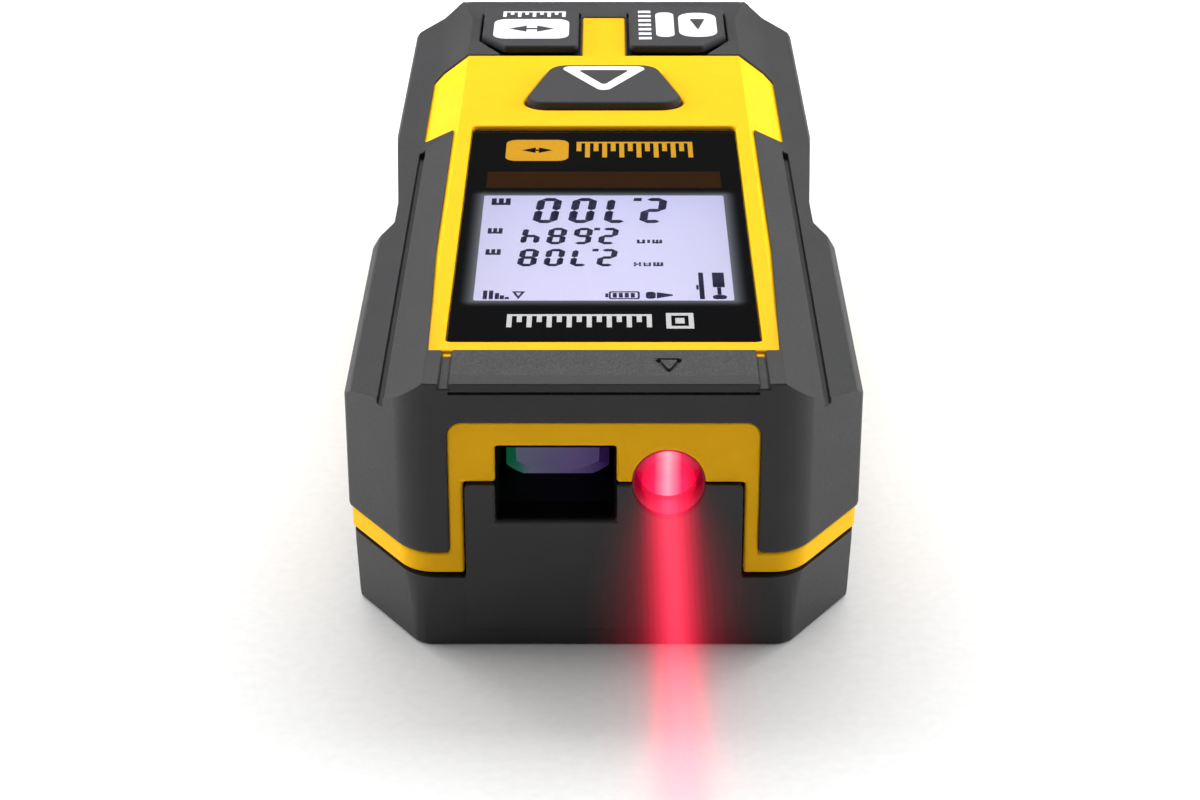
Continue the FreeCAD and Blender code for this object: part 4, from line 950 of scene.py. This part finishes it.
def display_icons():
    """Signal bars, level triangle, battery, laser and reference-edge icons along the display's far side."""
    signal = zip((-12.1, -11.5, -10.9, -10.4, -9.9), (2.1, 2.1, 1.5, 0.9, 0.5))
    loops = [oblong(x, x + 0.42, ICON_FOOT, ICON_FOOT + height) for x, height in signal]
    loops.append([
        [(-9.2, -36.7), (-7.9, -36.7), (-8.55, ICON_FOOT)],
        [(-8.85, -36.95), (-8.25, -36.95), (-8.55, -37.9)],
    ])
    battery_case = [oblong(0.5, 3.6, ICON_FOOT, -36.7, 0.3), oblong(0.7, 3.4, -38.4, -36.9, 0.2)]
    battery_tip = oblong(0.15, 0.45, -38.1, -37.2)
    loops += [battery_case, battery_tip]
    loops += [oblong(0.9 + 0.6 * i, 1.3 + 0.6 * i, -38.2, -37.1) for i in range(4)]
    laser_head = rounded([(4.2, -38.5), (5.2, -38.5), (5.2, -36.8), (4.2, -36.8)], 0.5)
    laser_cone = [(5.3, -38.4), (6.9, -37.75), (6.9, -37.5), (5.3, -36.9)]
    loops += [laser_head, laser_cone]
    loops += [
        oblong(11.0, 12.2, -35.6, -31.9),
        oblong(11.4, 11.8, -37.5, -35.7),
        oblong(10.9, 12.3, ICON_FOOT, -37.6, 0.4),
        oblong(9.6, 10.1, ICON_FOOT, -31.9),
        [(9.3, -36.2), (9.55, -36.2), (9.55, -35.0), (9.3, -35.2)],
    ]
    return loops


# the clear opening in the window's border, over the display: from x, to x, from y, to y
OPENING = (-13.0, 13.0, -39.4, -10.9)


def window_border(low, high):
    """The black border round the clear opening."""
    near = Vector((OPENING[0], OPENING[2], 0.0)) * MM
    far = Vector((OPENING[1], OPENING[3], 0.0)) * MM
    outline = oblong(low.x + 0.1, high.x - 0.1, low.y + 0.1, high.y - 0.1, 0.6)
    print_piece("window_border", [[outline, oblong(*OPENING, 0.3)]], low.z + 0.02, black_print(near, far),
                HOUSING, "window_acrylic")


def window_prints():
    """The window's black border and the plain marks on it, just above the pane's lower face."""
    low, high = millimetres("display_window")
    window_border(low, high)
    # these inks glow a little: painted light that keeps the marks bright under the pane
    yellow = ink("yellow_ink", (0.95, 0.50, 0.03), 0.75)
    white = ink("white_ink", (0.86, 0.86, 0.88), 0.75)
    amber = ink("amber_film", (0.052, 0.018, 0.002), 0.6)
    arrow = turned_round([double_arrow(3.6, 1.8, 0.5)], -5.75, 4.0)
    square = [oblong(6.1, 8.8, -46.2, -42.5), oblong(6.6, 8.3, -45.6, -43.1)]
    marks = (
        ("window_pill", [[oblong(-11.1, -4.0, -0.3, 6.45, 1.2), *arrow]], yellow),
        ("window_ruler", turned_round(ruler(13.2, 5.0, 14, 0.55), 10.1, 5.8), yellow),
        ("window_far_ruler", turned_round(ruler(14.2, 3.1, 15, 0.5), 4.7, -42.8), white),
        ("window_far_mark", [square, oblong(7.0, 7.9, -45.0, -43.7)], white),
        ("window_amber_strip", [oblong(-12.9, 12.9, -8.6, -3.7)], amber),
    )
    for name, islands, paint in marks:
        print_piece(name, islands, low.z + 0.07, paint, HOUSING, "window_acrylic")


def key_legends():
    """Plain raised marks on the rear keys."""
    # the legend ink glows a little: painted light
    white = ink("legend_ink", (0.84, 0.86, 0.90), 0.1)
    level = millimetres("left_key")[1].z - 0.01
    arrow = turned_round([double_arrow(6.0, 2.6, 0.7)], -6.1, 44.2)
    left = [[oblong(-13.9, -4.4, 38.9, 46.8, 1.6), *arrow]]
    left += turned_round(ruler(8.0, 2.2, 9, 0.45), -4.9, 50.0)
    right = [oblong(4.4, 6.0, 38.6 + 1.8 * i, 39.5 + 1.8 * i) for i in range(7)]
    right.append(oblong(6.6, 8.9, 39.6, 49.6, 1.1))
    right.append([oblong(9.5, 14.3, 39.6, 49.4, 2.0), [(10.9, 46.9), (12.9, 46.9), (11.9, 42.4)]])
    for key, islands in (("left_key", left), ("right_key", right)):
        print_piece(f"{key}_legend", islands, level, white, NODES[key]["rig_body"], "white_print", 0.04)


display()
window_prints()
key_legends()


# ---- stage ----

FLOOR_HALF = 4.0


def studio():
    """A pale paper floor just under the tool."""
    floor = bpy.data.meshes.new("floor")
    bm = bmesh.new()
    bmesh.ops.create_grid(bm, x_segments=8, y_segments=8, size=FLOOR_HALF)
    bm.to_mesh(floor)
    bm.free()
    paint = Paint("paper_floor", Specular_IOR_Level=0.2)
    fibre = paint.noise(900.0, 3.0)
    paint.colour(paint.ramp(fibre, (0.3, (0.86, 0.86, 0.86)), (0.7, (0.90, 0.90, 0.90))))
    paint.rough(paint.range(fibre, 0.3, 0.7, 0.55, 0.65))
    floor.materials.append(paint.material)
    obj = show(bpy.data.objects.new("floor", floor))
    obj.location.z = cad_low.z - 0.02 * MM


def soft_light(name, place_at, target, width, depth, power, glossy=True):
    """A rectangular light that is seen in no picture, and in reflections only if it is glossy."""
    light = bpy.data.lights.new(name, "AREA")
    light.shape = "RECTANGLE"
    light.size = width
    light.size_y = depth
    light.energy = power
    obj = show(bpy.data.objects.new(name, light))
    obj.location = place_at
    obj.rotation_euler = (Vector(target) - Vector(place_at)).to_track_quat("-Z", "Y").to_euler()
    obj.visible_camera = False
    obj.visible_glossy = glossy
    obj.visible_transmission = False


def laser_glow():
    """The red light that spills from the exit on to the front panel."""
    light = bpy.data.lights.new("laser_glow", "POINT")
    light.color = (1.0, 0.02, 0.08)
    light.energy = 0.0002
    light.shadow_soft_size = 1.5 * MM
    obj = show(bpy.data.objects.new("laser_glow", light))
    obj.location = LASER_AT + Vector((0.0, -2.5 * MM, 0.0))
    obj.visible_camera = False


def sleeve_mesh(name, radius):
    """A closed tube along the beam that starts no wider than the beam and then widens to a radius, in
    millimetres."""
    bm = bmesh.new()
    rings = []
    for way, share in BEAM_WIDENING:
        wide = (min(radius, BEAM_START) * (1.0 - share) + radius * share) * MM
        turns = [math.tau * step / BEAM_SIDES for step in range(BEAM_SIDES)]
        ring = [LASER_AT + Vector((wide * math.cos(turn), -way, wide * math.sin(turn))) for turn in turns]
        rings.append([bm.verts.new(point) for point in ring])
    for near, far in zip(rings, rings[1:]):
        for step in range(BEAM_SIDES):
            after = (step + 1) % BEAM_SIDES
            bm.faces.new([near[step], near[after], far[after], far[step]])
    bm.faces.new(rings[0])
    bm.faces.new(rings[-1])
    bmesh.ops.recalc_face_normals(bm, faces=bm.faces)
    mesh = bpy.data.meshes.new(name)
    bm.to_mesh(mesh)
    bm.free()
    return mesh


def haze(name, colour, strength, density):
    """Air that glows a little in the beam's light."""
    material = bpy.data.materials.new(name)
    material.use_nodes = True
    tree = material.node_tree
    tree.nodes.clear()
    volume = tree.nodes.new("ShaderNodeVolumePrincipled")
    output = tree.nodes.new("ShaderNodeOutputMaterial")
    tree.links.new(volume.outputs["Volume"], output.inputs["Volume"])
    values = {
        "Density": density,
        "Color": (0.0, 0.0, 0.0, 1.0),
        "Absorption Color": (1.0, 0.05, 0.12, 1.0),
        "Emission Color": (*colour, 1.0),
        "Emission Strength": strength,
    }
    for socket, value in values.items():
        volume.inputs[socket].default_value = value
    return material


def laser_beam():
    """The beam in the air: sleeves of faintly glowing haze, one inside the other."""
    for number, (radius, colour, strength, density) in enumerate(BEAM_SLEEVES):
        mesh = sleeve_mesh(f"laser_beam_{number}", radius)
        mesh.materials.append(haze(f"laser_haze_{number}", colour, strength, density))
        obj = show(bpy.data.objects.new(f"laser_beam_{number}", mesh))
        obj.visible_diffuse = False
        obj.visible_glossy = False


def span(tree, value, low, high, to_low, to_high):
    """Maps a value in the world's nodes from low..high to to_low..to_high."""
    made = tree.nodes.new("ShaderNodeMapRange")
    tree.links.new(value, made.inputs["Value"])
    for socket, number in zip(("From Min", "From Max", "To Min", "To Max"), (low, high, to_low, to_high)):
        made.inputs[socket].default_value = number
    return made.outputs["Result"]


def world():
    """A pale studio: bright overhead and at the sides, dim at the front and rear so that the window stays
    dark, and plain white where it is looked at."""
    made = bpy.data.worlds.new("studio")
    made.use_nodes = True
    bpy.context.scene.world = made
    tree = made.node_tree
    back = tree.nodes["Background"]
    coordinates = tree.nodes.new("ShaderNodeTexCoord")
    split = tree.nodes.new("ShaderNodeSeparateXYZ")
    tree.links.new(coordinates.outputs["Generated"], split.inputs["Vector"])
    aside = tree.nodes.new("ShaderNodeMath")
    aside.operation = "ABSOLUTE"
    tree.links.new(split.outputs["X"], aside.inputs[0])
    total = tree.nodes.new("ShaderNodeMath")
    tree.links.new(span(tree, split.outputs["Z"], 0.50, 0.70, 0.03, 0.3), total.inputs[0])
    tree.links.new(span(tree, aside.outputs["Value"], 0.6, 0.9, 0.0, 0.7), total.inputs[1])
    path = tree.nodes.new("ShaderNodeLightPath")
    choose = tree.nodes.new("ShaderNodeMix")
    tree.links.new(path.outputs["Is Camera Ray"], choose.inputs["Factor"])
    tree.links.new(total.outputs["Value"], choose.inputs["A"])
    choose.inputs["B"].default_value = 1.0
    tree.links.new(choose.outputs["Result"], back.inputs["Strength"])
    back.inputs["Color"].default_value = (1.0, 1.0, 1.0, 1.0)


liner_low, liner_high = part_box("laser_liner")
LASER_AT = Vector(((liner_low.x + liner_high.x) / 2, liner_low.y, (liner_low.z + liner_high.z) / 2))
BEAM_LENGTH = 0.16
BEAM_SIDES = 48
# how far along the beam a sleeve has widened by which share
BEAM_WIDENING = ((0.0, 0.0), (0.006, 0.5), (0.02, 1.0), (BEAM_LENGTH, 1.0))
# radius in millimetres, colour, glow and density of each sleeve of haze
BEAM_SLEEVES = (
    (0.8, (1.0, 0.22, 0.32), 30.0, 8.0),
    (1.3, (1.0, 0.10, 0.20), 30.0, 8.0),
    (1.8, (1.0, 0.04, 0.12), 30.0, 10.0),
    (2.3, (1.0, 0.03, 0.09), 26.0, 10.0),
    (2.8, (1.0, 0.02, 0.07), 16.0, 8.0),
    (3.4, (1.0, 0.02, 0.07), 8.0, 5.0),
    (4.2, (1.0, 0.02, 0.07), 4.0, 2.0),
    (5.2, (1.0, 0.02, 0.07), 2.2, 1.0),
    (6.4, (1.0, 0.02, 0.07), 1.2, 0.5),
    (7.6, (1.0, 0.02, 0.07), 0.6, 0.3),
)

# the camera's place, its tilt below level in degrees, its focal length in millimetres and its shift
CAMERA_AT = (0.0, -0.287, 0.135)
CAMERA_DOWN = 25.67
CAMERA_LENS = 81.45
CAMERA_SHIFT = -0.00317


def camera():
    lens = bpy.data.cameras.new("camera")
    lens.lens = CAMERA_LENS
    lens.shift_x = CAMERA_SHIFT
    obj = show(bpy.data.objects.new("camera", lens))
    obj.location = CAMERA_AT
    obj.rotation_euler = (math.radians(90 - CAMERA_DOWN), 0.0, 0.0)
    bpy.context.scene.camera = obj


studio()
world()
camera()
# the sheen light makes the dark tops shine, and the lights beside it add no more reflections to the window
soft_light("overhead", (0.0, 0.50, 0.62), (0.0, 0.0, 0.0), 1.3, 0.45, 4.5, glossy=False)
soft_light("overhead_sheen", (0.0, 0.49, 0.61), (0.0, 0.0, 0.0), 1.3, 0.45, 5.5)
soft_light("left_strip", (-0.35, 0.12, 0.09), (0.0, -0.02, 0.01), 0.4, 0.14, 1.75, glossy=False)
soft_light("right_strip", (0.35, 0.12, 0.09), (0.0, -0.02, 0.01), 0.4, 0.14, 1.75, glossy=False)
laser_glow()
laser_beam()
bpy.context.scene.view_settings.view_transform = "Standard"
